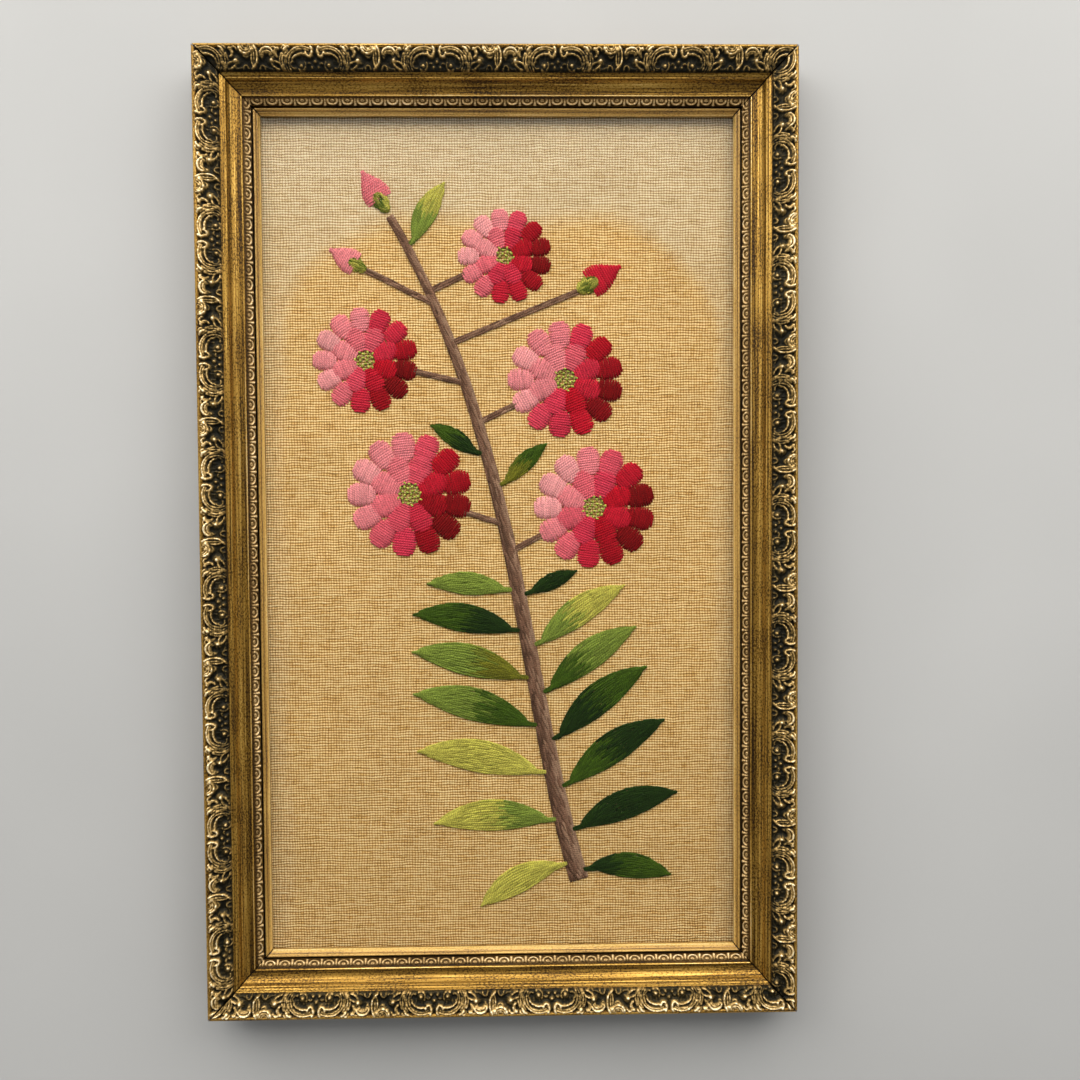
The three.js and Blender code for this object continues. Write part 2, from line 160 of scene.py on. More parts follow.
def tan_linen():
    """Coarse plain-weave linen, gone warmer where it was stained: round, fuzzy, slubby threads of uneven tan
    with small dark holes between them. The shade of the round threads, darker at their edges and where
    they dive, is painted into the colour. The threads are 1.6 by 1.5 mm, drawn a fifth coarser to show."""
    warp, weft = 0.0019, 0.0018
    material, tree, shader = new_material("tan_linen_plain_weave")
    place = add(tree, "TexCoord").outputs["Object"]
    # The threads wander by a third of a millimetre over some 12 mm
    wander = add(tree, "TexNoise", {"Vector": place, "Scale": 1 / 0.012, "Detail": 2.0})
    shift = add(tree, "VectorMath", {0: wander.outputs["Color"], 1: (0.5, 0.5, 0.5)}, operation="SUBTRACT")
    small = add(tree, "VectorMath", {0: shift, "Scale": 0.0020}, operation="SCALE")
    moved = add(tree, "VectorMath", {0: place, 1: small})
    axes = add(tree, "SeparateXYZ", {0: moved})
    # Each way a sine of half a turn a thread, so that its size is 1 on a thread and 0 in the gap
    ridges = []
    for axis, pitch in ((0, warp), (1, weft)):
        turn = add(tree, "Math", {0: axes.outputs[axis], 1: math.pi / pitch}, operation="MULTIPLY")
        wave = add(tree, "Math", {0: turn}, operation="SINE")
        ridges.append(add(tree, "Math", {0: wave}, operation="ABSOLUTE"))
    # Painted shade of the weave: each thread is coloured darker towards its edges, as if round, and dimmer
    # where it dives, the warp more than the weft
    threads = []
    for own, other, dive, climb in ((ridges[1], ridges[0], 0.5, 0.5), (ridges[0], ridges[1], 0.3, 0.55)):
        rounded = add(tree, "Math", {0: own, 1: 0.7}, operation="POWER")
        level = add(tree, "Math", {0: other, 1: climb, 2: dive}, operation="MULTIPLY_ADD")
        threads.append(add(tree, "Math", {0: rounded, 1: level}, operation="MULTIPLY"))
    weave = add(tree, "Math", {0: threads[0], 1: threads[1]}, operation="MAXIMUM")
    # Slubs: noise drawn out along the weft and along the warp, 16 and 12 mm by one thread
    slub_x = add(tree, "Mapping", {"Vector": moved, "Scale": (1 / 0.016, 1 / weft, 1)})
    slub_y = add(tree, "Mapping", {"Vector": moved, "Scale": (1 / warp, 1 / 0.012, 1)})
    weft_slub = add(tree, "TexNoise", {"Vector": slub_x, "Scale": 1.0, "Detail": 2.0})
    warp_slub = add(tree, "TexNoise", {"Vector": slub_y, "Scale": 1.0, "Detail": 2.0})
    # Fuzz and thin places of a thread's own width break up the rows
    fuzz = add(tree, "TexNoise", {"Vector": place, "Scale": 1 / 0.0017, "Detail": 1.0})
    lit = 0.0
    for part, strength in ((weft_slub, 0.95), (warp_slub, 0.45), (fuzz, 0.6)):
        lit = add(tree, "Math", {0: part, 1: strength, 2: lit}, operation="MULTIPLY_ADD")
    thread = add(tree, "Math", {0: weave, 1: lit}, operation="MULTIPLY")
    stain = add(tree, "Attribute", attribute_name="stain").outputs["Fac"]
    clean = add(tree, "ValToRGB", {"Fac": thread},
                stops=[(0.08, "#6A5130"), (0.44, "#B8956A"), (0.68, "#E0C49C"), (0.95, "#ECDABC")])
    warm = add(tree, "ValToRGB", {"Fac": thread},
               stops=[(0.08, "#46290E"), (0.44, "#B28142"), (0.68, "#E8BB78"), (0.95, "#F5D9A6")])
    colour = add(tree, "Mix", {0: stain, 6: clean, 7: warm}, data_type="RGBA")
    # Cloudy patches of some 50 mm, and painted light and shade: a paler band along the frame, a darker foot
    cloud = add(tree, "TexNoise", {"Vector": place, "Scale": 1 / 0.05, "Detail": 3.0})
    patchy = add(tree, "MapRange",
                 {"Value": cloud, "From Min": 0.3, "From Max": 0.7, "To Min": 0.90, "To Max": 1.00})
    # Painted light and shade, from the sheet: lighter along the frame, darker towards the foot
    painted_light_and_shade = add(tree, "Attribute", attribute_name="painted_light_and_shade").outputs["Fac"]
    gain = add(tree, "Math", {0: patchy, 1: painted_light_and_shade}, operation="MULTIPLY")
    colour_with_painted_light = add(tree, "VectorMath", {0: colour.outputs[2], "Scale": gain}, operation="SCALE")
    bump = add(tree, "Bump", {"Height": thread, "Strength": 0.7, "Distance": 0.0005})
    wire(tree, shader, {"Base Color": colour_with_painted_light, "Normal": bump, "Roughness": 0.9, "Specular IOR Level": 0.2,
                        "Sheen Weight": 0.1})
    return material


def crewel_wool(name):
    """Two-ply crewel wool: soft matt strands with a slanting twist and a fuzzy light edge, each strand a
    little off its neighbour's shade. The twist is drawn at 1.6 mm a turn, coarser than real, to show."""
    material, tree, shader = new_material(name)
    tint = add(tree, "Attribute", attribute_name="tint")
    place = add(tree, "TexCoord")
    way = add(tree, "SeparateXYZ", {0: place.outputs["UV"]})
    along = add(tree, "Math", {0: way.outputs["X"], 1: 2 * math.pi / 0.0016}, operation="MULTIPLY")
    turned = add(tree, "Math", {0: way.outputs["Y"], 1: 4 * math.pi, 2: along}, operation="MULTIPLY_ADD")
    twist = add(tree, "Math", {0: turned}, operation="SINE")
    fluff = add(tree, "TexNoise", {"Vector": place.outputs["Object"], "Scale": 1 / 0.0012, "Detail": 3.0})
    ply = add(tree, "Math", {0: twist, 1: 0.16, 2: fluff}, operation="MULTIPLY_ADD")
    # Painted shade and highlight of the twist: darker in the grooves between the plies, lighter on them, and
    # varying at random with the fluff
    shade = add(tree, "MapRange",
                {"Value": ply, "From Min": 0.25, "From Max": 0.75, "To Min": 0.62, "To Max": 1.25})
    colour = add(tree, "VectorMath", {0: tint.outputs["Color"], "Scale": shade}, operation="SCALE")
    bump = add(tree, "Bump", {"Height": ply, "Strength": 0.6, "Distance": 0.0003})
    wire(tree, shader, {"Base Color": colour, "Normal": bump, "Roughness": 0.85, "Specular IOR Level": 0.15,
                        "Sheen Weight": 0.05, "Sheen Roughness": 0.4})
    return material


def picture_glass():
    """Thin float glass: clear but for a faint mirror image that grows towards grazing angles. The mirror
    is on outward faces alone, so that slanting light gets out of the pane again."""
    material, tree, shader = new_material("picture_glass")
    tree.nodes.remove(shader)
    clear = add(tree, "BsdfTransparent", {"Color": linear("#FBFCFA")})
    mirror = add(tree, "BsdfGlossy", {"Roughness": 0.1})
    share = add(tree, "Fresnel", {"IOR": 1.3})
    inner = add(tree, "NewGeometry").outputs["Backfacing"]
    outer = add(tree, "Math", {0: 1.0, 1: inner}, operation="SUBTRACT")
    facing = add(tree, "Math", {0: share, 1: outer}, operation="MULTIPLY")
    mixed = add(tree, "MixShader", {0: facing, 1: clear, 2: mirror})
    wire(tree, tree.nodes["Material Output"], {"Surface": mixed})
    return material


def brown_hardboard():
    """Pressed hardboard: dull brown with fine darker fibres of about 2 mm and broad cloudy patches."""
    material, tree, shader = new_material("brown_hardboard")
    place = add(tree, "TexCoord").outputs["Object"]
    fibre = add(tree, "TexNoise", {"Vector": place, "Scale": 1 / 0.002, "Detail": 4.0, "Roughness": 0.7})
    cloud = add(tree, "TexNoise", {"Vector": place, "Scale": 1 / 0.06, "Detail": 2.0})
    both = add(tree, "Math", {0: cloud, 1: 0.3, 2: fibre}, operation="MULTIPLY_ADD")
    colour = add(tree, "ValToRGB", {"Fac": both},
                 stops=[(0.38, "#4A3323"), (0.65, "#7A5A3D"), (0.88, "#9A7856")])
    bump = add(tree, "Bump", {"Height": fibre, "Strength": 0.3, "Distance": 0.0003})
    wire(tree, shader, {"Base Color": colour, "Normal": bump, "Roughness": 0.8})
    return material


RAIL_GILT = antique_gilt(
    "rubbed_bronze_gilt_rail",
    [(0.0, "#241604"), (0.26, "#5E4210"), (0.50, "#9C762C"), (0.76, "#CBA452"), (1.0, "#EED294")],
    metallic=0.7, gloss=0.5, roughness=0.26, speck=0.34, streak_width=0.0012, streak_depth=1.5,
)
SCROLL_GILT = antique_gilt(
    "rubbed_bronze_gilt_scrolls",
    [(0.0, "#12110A"), (0.20, "#2C2615"), (0.44, "#786135"), (0.68, "#CAA86B"), (0.90, "#FCECC2")],
    metallic=0.4, gloss=0.15, roughness=0.32, speck=0.16, streak_width=0.003, streak_depth=0.8,
)
EGG_GILT = antique_gilt(
    "rubbed_bronze_gilt_eggs",
    [(0.0, "#1C1003"), (0.20, "#4A3208"), (0.44, "#7A6036"), (0.68, "#BE9E6A"), (0.90, "#F2E0B8")],
    metallic=0.45, gloss=0.3, roughness=0.34, speck=0.16, streak_width=0.003, streak_depth=0.6,
)
SLIP_GILT = antique_gilt(
    "bright_gilt_slip",
    [(0.0, "#241406"), (0.25, "#664818"), (0.50, "#AA8236"), (0.78, "#D8B566"), (1.0, "#F8E8B0")],
    metallic=0.35, gloss=0.9, roughness=0.34, speck=0.22, streak_width=0.0010, streak_depth=1.0,
)
LINEN = tan_linen()
BROWN_WOOL = crewel_wool("brown_crewel_wool")
GREEN_WOOL = crewel_wool("green_crewel_wool")
PINK_WOOL = crewel_wool("pink_crewel_wool")


# Meshes

def signed_volume(points, faces):
    """Six times the volume inside the faces, by the tetrahedra from the origin to a fan of each face."""
    total = 0.0
    for group in faces:
        corner = points[group]
        for k in range(1, group.shape[1] - 1):
            total += np.einsum("ij,ij->", corner[:, 0], np.cross(corner[:, k], corner[:, k + 1]))
    return total


def make_piece(name, points, faces, material, node=None, uv=None, tone=None, tint=None, sharp=180):
    """Puts arrays of points in mm and of faces into one closed mesh, facing outwards, that rides the part."""
    if signed_volume(points, faces) < 0:
        faces = [group[:, ::-1] for group in faces]
    sizes = np.concatenate([np.full(len(group), group.shape[1]) for group in faces])
    corners = np.concatenate([group.ravel() for group in faces]).astype(np.int32)
    mesh = bpy.data.meshes.new(name)
    mesh.vertices.add(len(points))
    mesh.vertices.foreach_set("co", (points * MM).astype(np.float32).ravel())
    mesh.loops.add(len(corners))
    mesh.loops.foreach_set("vertex_index", corners)
    mesh.polygons.add(len(sizes))
    mesh.polygons.foreach_set("loop_start", (np.cumsum(sizes) - sizes).astype(np.int32))
    mesh.polygons.foreach_set("use_smooth", np.ones(len(sizes), dtype=bool))
    mesh.update(calc_edges=True)
    if uv is not None:
        layer = mesh.uv_layers.new(name="UVMap")
        layer.data.foreach_set("uv", (uv * MM)[corners].astype(np.float32).ravel())
    if tone is not None:
        mesh.attributes.new("tone", "FLOAT", "POINT").data.foreach_set("value", tone.astype(np.float32))
    if tint is not None:
        colours = np.column_stack([tint, np.ones(len(tint))]).astype(np.float32)
        mesh.attributes.new("tint", "FLOAT_COLOR", "POINT").data.foreach_set("color", colours.ravel())
    if sharp < 180:
        mesh.set_sharp_from_angle(angle=math.radians(sharp))
    mesh.materials.append(material)
    made = bpy.data.objects.new(name, mesh)
    bpy.context.scene.collection.objects.link(made)
    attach(made, "root")
    if node:
        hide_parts(node)
    return made


def ring_faces(sections, ring):
    """Quads between each two neighbouring rings of a closed section carried along, and the two end caps."""
    row = np.arange(sections - 1)[:, None] * ring
    here = np.arange(ring)[None, :]
    ahead = (here + 1) % ring
    quads = np.stack([row + here, row + ahead, row + ring + ahead, row + ring + here], axis=-1)
    caps = np.stack([np.arange(ring)[::-1], np.arange(ring) + (sections - 1) * ring])
    return [quads.reshape(-1, 4), caps]


def bend(start, control, end, steps, tones):
    """Rows of inset, level and tone on a quadratic curve from start to end, drawn towards control. The tones
    are spread evenly along it."""
    t = np.linspace(0, 1, steps)[:, None]
    spot = (1 - t) ** 2 * np.array(start) + 2 * t * (1 - t) * np.array(control) + t ** 2 * np.array(end)
    return np.column_stack([spot, np.interp(t[:, 0], np.linspace(0, 1, len(tones)), tones)])


def side_length(turns):
    """Outer length of the side that lies that many quarter turns from the bottom one."""
    return OUTER_HEIGHT if turns % 2 else OUTER_WIDTH


def place_side(turns, along, inset, level):
    """Turns a side's own along, inset and level into the frame, from the middle of its outer edge."""
    angle = turns * math.pi / 2
    c, s = round(math.cos(angle)), round(math.sin(angle))
    reach = (OUTER_WIDTH if turns % 2 else OUTER_HEIGHT) / 2
    out = inset - reach
    return np.stack([c * along - s * out, s * along + c * out, level + 0 * along], axis=-1)


def half_length(turns, inset):
    """Half the length of a mitred side at a distance in from its outer edge."""
    return side_length(turns) / 2 - inset - MITRE_SETBACK


def moulding(name, turns, section, material, node):
    """A straight mitred moulding: a section of inset, level and tone, with each point carried from mitre
    to mitre, and darkened beside the mitres. UV runs along the side and round the section."""
    inset, level, tone = section.T
    half = half_length(turns, inset)
    along = np.stack([-half, MITRE_SHADE - half, half - MITRE_SHADE, half])
    shaded = np.stack([tone - MITRE_DARK, tone, tone, tone - MITRE_DARK])
    sections, ring = along.shape
    girth = np.concatenate([[0], np.cumsum(np.hypot(np.diff(inset), np.diff(level)))])
    points = place_side(turns, along, inset[None, :], level[None, :]).reshape(-1, 3)
    uv = np.stack([along, np.broadcast_to(girth, along.shape)], axis=-1).reshape(-1, 2)
    uv[:, 0] += PATTERN_SHIFT * (turns + 2)
    make_piece(name, points, ring_faces(sections, ring), material, node,
               uv=uv, tone=shaded.ravel(), sharp=35)


# Section of the rail: inset, level, tone. A tone of 1 is a rubbed ridge, and -1 a dark hollow.
RAIL_SECTION = np.concatenate([
    [(0.0, 0.0, -0.8), (28.0, 0.0, -1.0), (28.0, 16.0, -1.0), (34.9, 16.0, -1.0), (34.9, 17.1, -0.6)],
    [(34.4, 17.2, -0.9), (30.3, 20.4, -0.9), (30.1, 20.9, -0.7)],
    [(29.95, 21.3, 0.2), (29.8, 21.7, 0.8), (29.5, 21.95, 0.9), (29.2, 21.9, 0.4)],
    bend((28.95, 21.7), (22.3, 22.2), (20.9, 27.1), 20, (-0.55, -0.4, 0.0, 0.0, -0.1, -0.2, -0.2)),
    [(20.7, 27.4, -0.2), (20.45, 27.85, 0.1), (20.1, 28.05, 0.2), (19.75, 28.0, -0.2)],
    [(19.5, 28.05, -0.5), (19.2, 28.3, -0.2), (18.6, 28.75, 0.0), (18.3, 28.95, 0.2)],
    [(18.0, 29.0, -0.1), (17.6, 29.2, -0.2), (17.2, 29.45, -0.4), (16.8, 29.7, -0.8), (3.4, 33.1, -0.8)],
    [(3.2, 34.2, -0.7), (2.9, 35.0, -0.6), (2.3, 35.6, -0.3), (1.6, 35.8, 0.0)],
    [(0.8, 35.5, 0.3), (0.2, 34.8, 0.0), (0.0, 34.0, -0.6), (0.0, 30.0, -0.6), (0.0, 12.0, -0.7)],
])

# Section of the slip, the narrow bright moulding that holds the glass: a bead, a groove and a bevel
SLIP_INNER = 39.8
SLIP_SECTION = np.concatenate([
    [(28.3, 9.2, -0.6), (SLIP_INNER, 9.2, -0.6), (SLIP_INNER, 11.2, 0.0)],
    # Painted highlight: the bevel is painted palest at its inner edge, tone 1.1 falling to -0.2 at the
    # groove, where it catches the light
    bend((39.75, 11.7), (39.5, 14.4), (38.15, 15.1), 7, (1.1, 0.8, 0.2, -0.2)),
    [(38.0, 14.9, -0.5), (37.85, 15.0, -0.4)],
    bend((37.75, 15.3), (37.0, 17.3), (36.05, 16.2), 8, (0.0, 0.1, 0.1, 0.3)),
    [(35.95, 15.8, -0.2), (35.85, 12.0, -1.4), (34.7, 12.0, -1.4), (34.7, 15.7, -1.4), (28.3, 15.7, -1.0)],
])

# Cast scrolls, in one repeat. Each ridge is an arc of an ellipse: its middle along the rail and in from the
# outer edge of the strip, its radii, first and last angle, half width at both ends, and height.
# Ridges of a pair stand on both sides of the pair's middle.
PAIR_RIDGES = [
    (3.9, 3.2, 2.1, 3.0, 235, 10, 0.80, 0.75, 2.6),
    (8.8, 10.4, 7.2, 5.8, 232, 335, 0.70, 0.45, 2.4),
    (8.7, 9.0, 10.2, 8.3, 240, 368, 0.55, 0.45, 2.5),
    (15.4, 8.0, 6.4, 7.6, 308, 415, 0.45, 0.45, 2.4),
    (13.8, 8.2, 6.1, 7.4, 312, 412, 0.40, 0.45, 2.3),
    (9.0, 10.0, 8.5, 7.0, 330, 390, 0.45, 0.50, 2.2),
    (9.5, 11.5, 11.0, 10.0, 312, 372, 0.55, 0.65, 2.3),
    (17.0, 8.5, 6.3, 7.0, 322, 412, 0.60, 0.55, 2.2),
    (16.6, 3.4, 3.6, 2.9, 280, 345, 0.50, 1.25, 2.5),
    (24.2, 4.0, 2.5, 2.7, 275, 435, 0.75, 0.50, 2.2),
    (23.0, 8.0, 6.2, 5.4, 18, 85, 1.05, 0.45, 2.2),
    (29.3, 9.4, 4.6, 3.5, 145, 40, 0.45, 0.40, 1.3),
    (35.0, 13.4, 1.8, 2.4, 185, 355, 0.50, 0.55, 1.7),
    (11.6, 12.8, 2.0, 1.6, 215, 100, 0.50, 0.45, 1.5),
    (14.0, 10.6, 2.3, 2.1, 115, -65, 0.50, 0.60, 1.7),
    (9.2, 11.0, 2.8, 3.0, 215, 45, 0.50, 0.45, 2.0),
    (27.4, 13.2, 5.4, 4.2, 182, 268, 0.45, 0.80, 2.3),
    (4.1, 10.6, 1.0, 0.9, 200, 340, 0.50, 0.50, 1.5),
    (6.6, 8.6, 0.1, 1.8, -90, 90, 0.40, 0.35, 0.9),
    (8.4, 8.0, 0.1, 2.0, -90, 90, 0.40, 0.35, 0.9),
    (12.4, 7.8, 0.1, 1.6, -90, 90, 0.40, 0.35, 0.9),
    (20.4, 1.6, 1.5, 1.3, 180, 360, 0.55, 0.45, 2.2),
    (27.4, 2.6, 1.9, 1.9, 195, 350, 0.55, 0.45, 2.2),
    (20.2, 13.0, 1.9, 1.5, 175, 15, 0.45, 0.45, 1.5),
    (26.4, 12.8, 2.1, 1.5, 170, 10, 0.45, 0.45, 1.5),
]
# The twisted leaf and its shoulders stand once in a repeat, measured from the leaf's own middle.
LEAF_RIDGES = [
    (-8.6, 4.6, 4.3, 3.3, 190, 365, 0.85, 0.80, 2.6),
    (-8.5, 6.0, 2.9, 1.9, 205, 340, 0.50, 0.55, 2.0),
    (2.2, 6.2, 4.6, 7.0, 235, 100, 0.75, 0.60, 2.7),
    (-1.6, 7.2, 3.2, 6.2, -70, 50, 0.60, 0.60, 2.3),
    (5.2, 0.6, 4.4, 4.1, 170, 10, 0.90, 0.90, 2.7),
    (5.0, 4.2, 2.3, 2.4, 150, 30, 0.50, 0.50, 1.9),
]
# Leaf blades between the ridges, as wide ribbed arcs in the same columns
PAIR_BLADES = [
    (8.7, 9.0, 8.8, 7.0, 238, 372, 1.80, 0.90, 1.5),
    (12.5, 10.0, 9.2, 8.6, 318, 392, 1.90, 1.30, 1.5),
    (24.0, 4.2, 1.6, 2.2, 260, 430, 1.30, 1.00, 1.2),
    (4.2, 3.4, 1.6, 2.2, 240, 20, 1.20, 1.20, 1.2),
]
LEAF_BLADES = [
    (-0.2, 7.0, 0.1, 5.2, -90, 90, 1.70, 1.50, 1.7),
    (5.2, 0.2, 3.2, 2.9, 172, 8, 1.90, 1.90, 1.7),
    (-8.6, 5.6, 3.4, 2.5, 188, 352, 1.70, 1.70, 1.6),
]
# Round bosses: middle along and in, radius, height
PAIR_BOSSES = [(0.0, 8.8, 1.3, 1.9), (2.3, 12.1, 1.1, 1.8), (9.2, 11.3, 1.8, 2.6), (28.4, 8.7, 2.1, 3.1)]
LEAF_BOSSES = [(-5.1, 6.8, 0.95, 1.8), (5.0, 1.9, 1.4, 2.2)]
# Strip: length of a repeat, width, distance from the rail's outer edge, thickness of its ground
SCROLL_REPEAT, SCROLL_WIDTH, SCROLL_OUTER, SCROLL_GROUND = 81.0, 15.3, 1.8, 0.7
# All heights and all ridges' widths are drawn this much fuller, to stand out as the cast ones do
SCROLL_RELIEF, RIDGE_FULLNESS = 1.3, 1.4
# Ribs of the blades and net of the ground: height and pitch
RIB_HEIGHT, RIB_PITCH = 0.75, 1.5
NET_HEIGHT, NET_PITCH = 0.4, 2.0
# Grid of one repeat, and caps set along each arc
TILE_STEP, ARC_CAPS = 0.3, 40
# Unevenness of the casting before it is softened, as a share of the height
CAST_UNEVEN = 0.40
# Rounds of softening: of that unevenness, of the heights, and of the heights that crests stand above
CAST_ROUNDS, HEIGHT_ROUNDS, CREST_ROUNDS = 3, 1, 24
# The repeat lies this far in on the strip, to clear the rim, and is drawn wider than its tables: this much of
# it shows on each millimetre across the strip
TILE_INSET, TILE_SHOWN = 0.3, 0.93
# Grid of a strip: step along it, points across it
STRIP_STEP, STRIP_COLUMNS = 0.48, 33
# Bed of the strip: level, inset where it starts to fall, fall per millimetre; how far the strip sinks in it
BED_LEVEL, BED_START, BED_FALL, BED_SUNK = 33.5, 2.4, 0.2416, 0.35
# Edges of the strip: width that is rounded off, and the share of a scroll's height that is left there
EDGE_ROUND, EDGE_KEPT = 0.6, 0.35
# Tone of the scrolls: in the hollows, gain per millimetre of height and of crest, and the lightest
HOLLOW_TONE, HEIGHT_TONE, CREST_TONE, LIGHTEST = -1.25, 0.44, 0.75, 1.5
# Wear of raised parts at the outer and the inner edge; rubbed outer edge: gain and how far in it reaches
WEAR_OUTER, WEAR_INNER = 0.3, -0.3
EDGE_RUB, EDGE_RUB_REACH = 0.5, 1.5


def scroll_tile():
    """Height of the cast scrolls over one repeat: the highest of all caps, set closely along every arc and
    once at every boss, with d the distance in half widths. A ridge or boss is h(1 - d^1.5)^0.85, with a
    shoulder of twice its width and half its height. A blade is flatter, h(1 - d^3)^0.6, and ribbed by a
    cosine. The ground is a net: the size of the product of two slanting sines."""
    along = np.arange(round(SCROLL_REPEAT / TILE_STEP)) * TILE_STEP
    across = np.arange(round(SCROLL_WIDTH / TILE_STEP) + 2) * TILE_STEP
    half = SCROLL_REPEAT / 2
    share = np.linspace(0, 1, ARC_CAPS)
    both, once = (1, -1), (1,)
    arcs = ((PAIR_RIDGES, 0.0, both, False), (LEAF_RIDGES, half, once, False),
            (PAIR_BLADES, 0.0, both, True), (LEAF_BLADES, half, once, True))
    caps = []
    for rows, middle, mirrors, ribbed in arcs:
        for s, w, a, b, first, last, thick, thin, height in rows:
            angle = np.radians(first + (last - first) * share)
            wide = (1 if ribbed else RIDGE_FULLNESS) * (thick + (thin - thick) * share)
            for mirror in mirrors:
                spot = middle + mirror * (s + a * np.cos(angle))
                caps.append((np.stack([spot, w + b * np.sin(angle), wide], axis=-1), height, ribbed))
    for rows, middle, mirrors in ((PAIR_BOSSES, 0.0, both), (LEAF_BOSSES, half, once)):
        for s, w, radius, height in rows:
            for mirror in mirrors:
                caps.append((np.array([(middle + mirror * s, w, radius)]), height, False))
    slant = np.sin(math.pi * (along[:, None] + across) / NET_PITCH)
    tile = NET_HEIGHT * np.abs(slant * np.sin(math.pi * (along[:, None] - across) / NET_PITCH))
    for ridge, height, ribbed in caps:
        gap = (along[:, None, None] - ridge[:, 0] + half) % SCROLL_REPEAT - half
        away = np.hypot(gap, across[None, :, None] - ridge[:, 1])
        nearest = (away / ridge[:, 2]).min(axis=2)
        if ribbed:
            cap = height * np.clip(1 - nearest ** 3, 0, 1) ** 0.6
            cap += RIB_HEIGHT * np.cos(2 * math.pi * away.min(axis=2) / RIB_PITCH) * (cap > 0)
        else:
            cap = height * np.clip(1 - nearest ** 1.5, 0, 1) ** 0.85
            cap = np.maximum(cap, 0.5 * height * np.clip(1 - (nearest / 2) ** 2, 0, 1))
        tile = np.maximum(tile, cap)
    return tile


def soften(field, rounds):
    """Blurs a field that repeats along its first axis, by averaging neighbours again and again."""
    for _ in range(rounds):
        field = (np.roll(field, 1, axis=0) + 2 * field + np.roll(field, -1, axis=0)) / 4
        padded = np.pad(field, ((0, 0), (1, 1)), mode="edge")
        field = (padded[:, :-2] + 2 * padded[:, 1:-1] + padded[:, 2:]) / 4
    return field


def sample_tile(field, along, across):
    """Reads a field of one repeat at any places, weighing the four nearest grid points."""
    x = (along / TILE_STEP) % len(field)
    y = np.clip(across / TILE_STEP, 0, field.shape[1] - 1.001)
    x0, y0 = np.floor(x).astype(int) % len(field), np.floor(y).astype(int)
    fx, fy = x - np.floor(x), y - y0
    x1, y1 = (x0 + 1) % len(field), y0 + 1
    near = field[x0, y0] * (1 - fy) + field[x0, y1] * fy
    far = field[x1, y0] * (1 - fy) + field[x1, y1] * fy
    return near * (1 - fx) + far * fx


SCROLL_HEIGHT = scroll_tile()
# Cast and rubbed by hand: heights vary by some tenths over a millimetre or two
casting = soften(chance.normal(0, CAST_UNEVEN, SCROLL_HEIGHT.shape), CAST_ROUNDS)
SCROLL_HEIGHT = soften(SCROLL_HEIGHT * (SCROLL_RELIEF * (1 + casting)), HEIGHT_ROUNDS)
# Crests are what stands above the blurred heights
SCROLL_CREST = SCROLL_HEIGHT - soften(SCROLL_HEIGHT, CREST_ROUNDS)


def relief_strip(name, turns, share, along, top, tone, base, girth, material, node=None):
    """One side's relief from mitre to mitre, on a grid of along and of top inset and level, closed by two
    dark lines of points below its edges, at the base insets and levels. UV runs along and by the girth."""
    pair = np.ones((len(share), 2))
    ring_along = np.concatenate([along, share * half_length(turns, base[0])], axis=1)
    ring_inset = np.concatenate([top[0], pair * base[0]], axis=1)
    ring_level = np.concatenate([top[1], pair * base[1]], axis=1)
    ring_tone = np.concatenate([tone, -pair], axis=1)
    points = place_side(turns, ring_along, ring_inset, ring_level).reshape(-1, 3)
    shifted = ring_along + PATTERN_SHIFT * (turns + 2)
    uv = np.stack([shifted, np.broadcast_to(girth, shifted.shape)], axis=-1).reshape(-1, 2)
    make_piece(name, points, ring_faces(*ring_along.shape), material, node,
               uv=uv, tone=ring_tone.ravel())


def scroll_strip(side, turns, phase, painted_side_light):
    """The cast ornament of one side: the sloping bed of the rail, raised by its ground and by the scrolls,
    on a half-millimetre grid from mitre to mitre. Its tone rises with height and crest, more towards the
    outer edge, which is rubbed, and by the side's painted light and shade, lighter or darker for how the
    light falls on that side."""
    across = np.linspace(0, SCROLL_WIDTH, STRIP_COLUMNS)
    inset = SCROLL_OUTER + across
    bed = BED_LEVEL - BED_FALL * np.maximum(inset - BED_START, 0)
    share = np.linspace(-1, 1, round(side_length(turns) / STRIP_STEP))[:, None]
    along = share * half_length(turns, inset)
    place = np.broadcast_to((across - TILE_INSET) * TILE_SHOWN, along.shape)
    height = sample_tile(SCROLL_HEIGHT, along - phase, place)
    crest = sample_tile(SCROLL_CREST, along - phase, place)
    # The outer edge stands half a millimetre up against the rim
    edge = np.clip(np.minimum(across + 0.5, SCROLL_WIDTH - across) / EDGE_ROUND, 0, 1) ** 0.5
    trim = np.clip((1 - np.abs(share)) * half_length(turns, inset) / MITRE_SHADE, 0, 1)
    level = bed + SCROLL_GROUND * edge + height * trim * (EDGE_KEPT + (1 - EDGE_KEPT) * edge)
    wear = np.clip(height, 0, 1) * (WEAR_OUTER + (WEAR_INNER - WEAR_OUTER) * across / SCROLL_WIDTH)
    rubbed = EDGE_RUB * np.exp(-across / EDGE_RUB_REACH)
    raised = HEIGHT_TONE * height + CREST_TONE * crest + wear + rubbed
    # Painted light and shade: each side's whole tone is lifted or lowered, lighter on the bottom, darker on
    # top
    tone = np.clip(HOLLOW_TONE + painted_side_light + trim * raised, HOLLOW_TONE + painted_side_light, LIGHTEST)
    base = inset[[-1, 0]], bed[[-1, 0]] - BED_SUNK
    top = np.broadcast_to(inset, along.shape), level
    relief_strip("scroll_ornament_" + side, turns, share, along, top, tone, base,
                 np.concatenate([inset, base[0]]), SCROLL_GILT, "ornament_" + side)


# Egg-and-dart row on the sloping inner edge of the rail: start and end of the slope as inset and level
EGG_START = np.array([30.25, 21.2])
EGG_END = np.array([34.8, 17.7])
EGG_PITCH = 10.2
# Grid of the row: step along it, points across it; how far the ground and the base sink in the slope
EGG_STEP, EGG_COLUMNS, EGG_SUNK, EGG_BASE = 0.52, 15, 0.35, 0.7
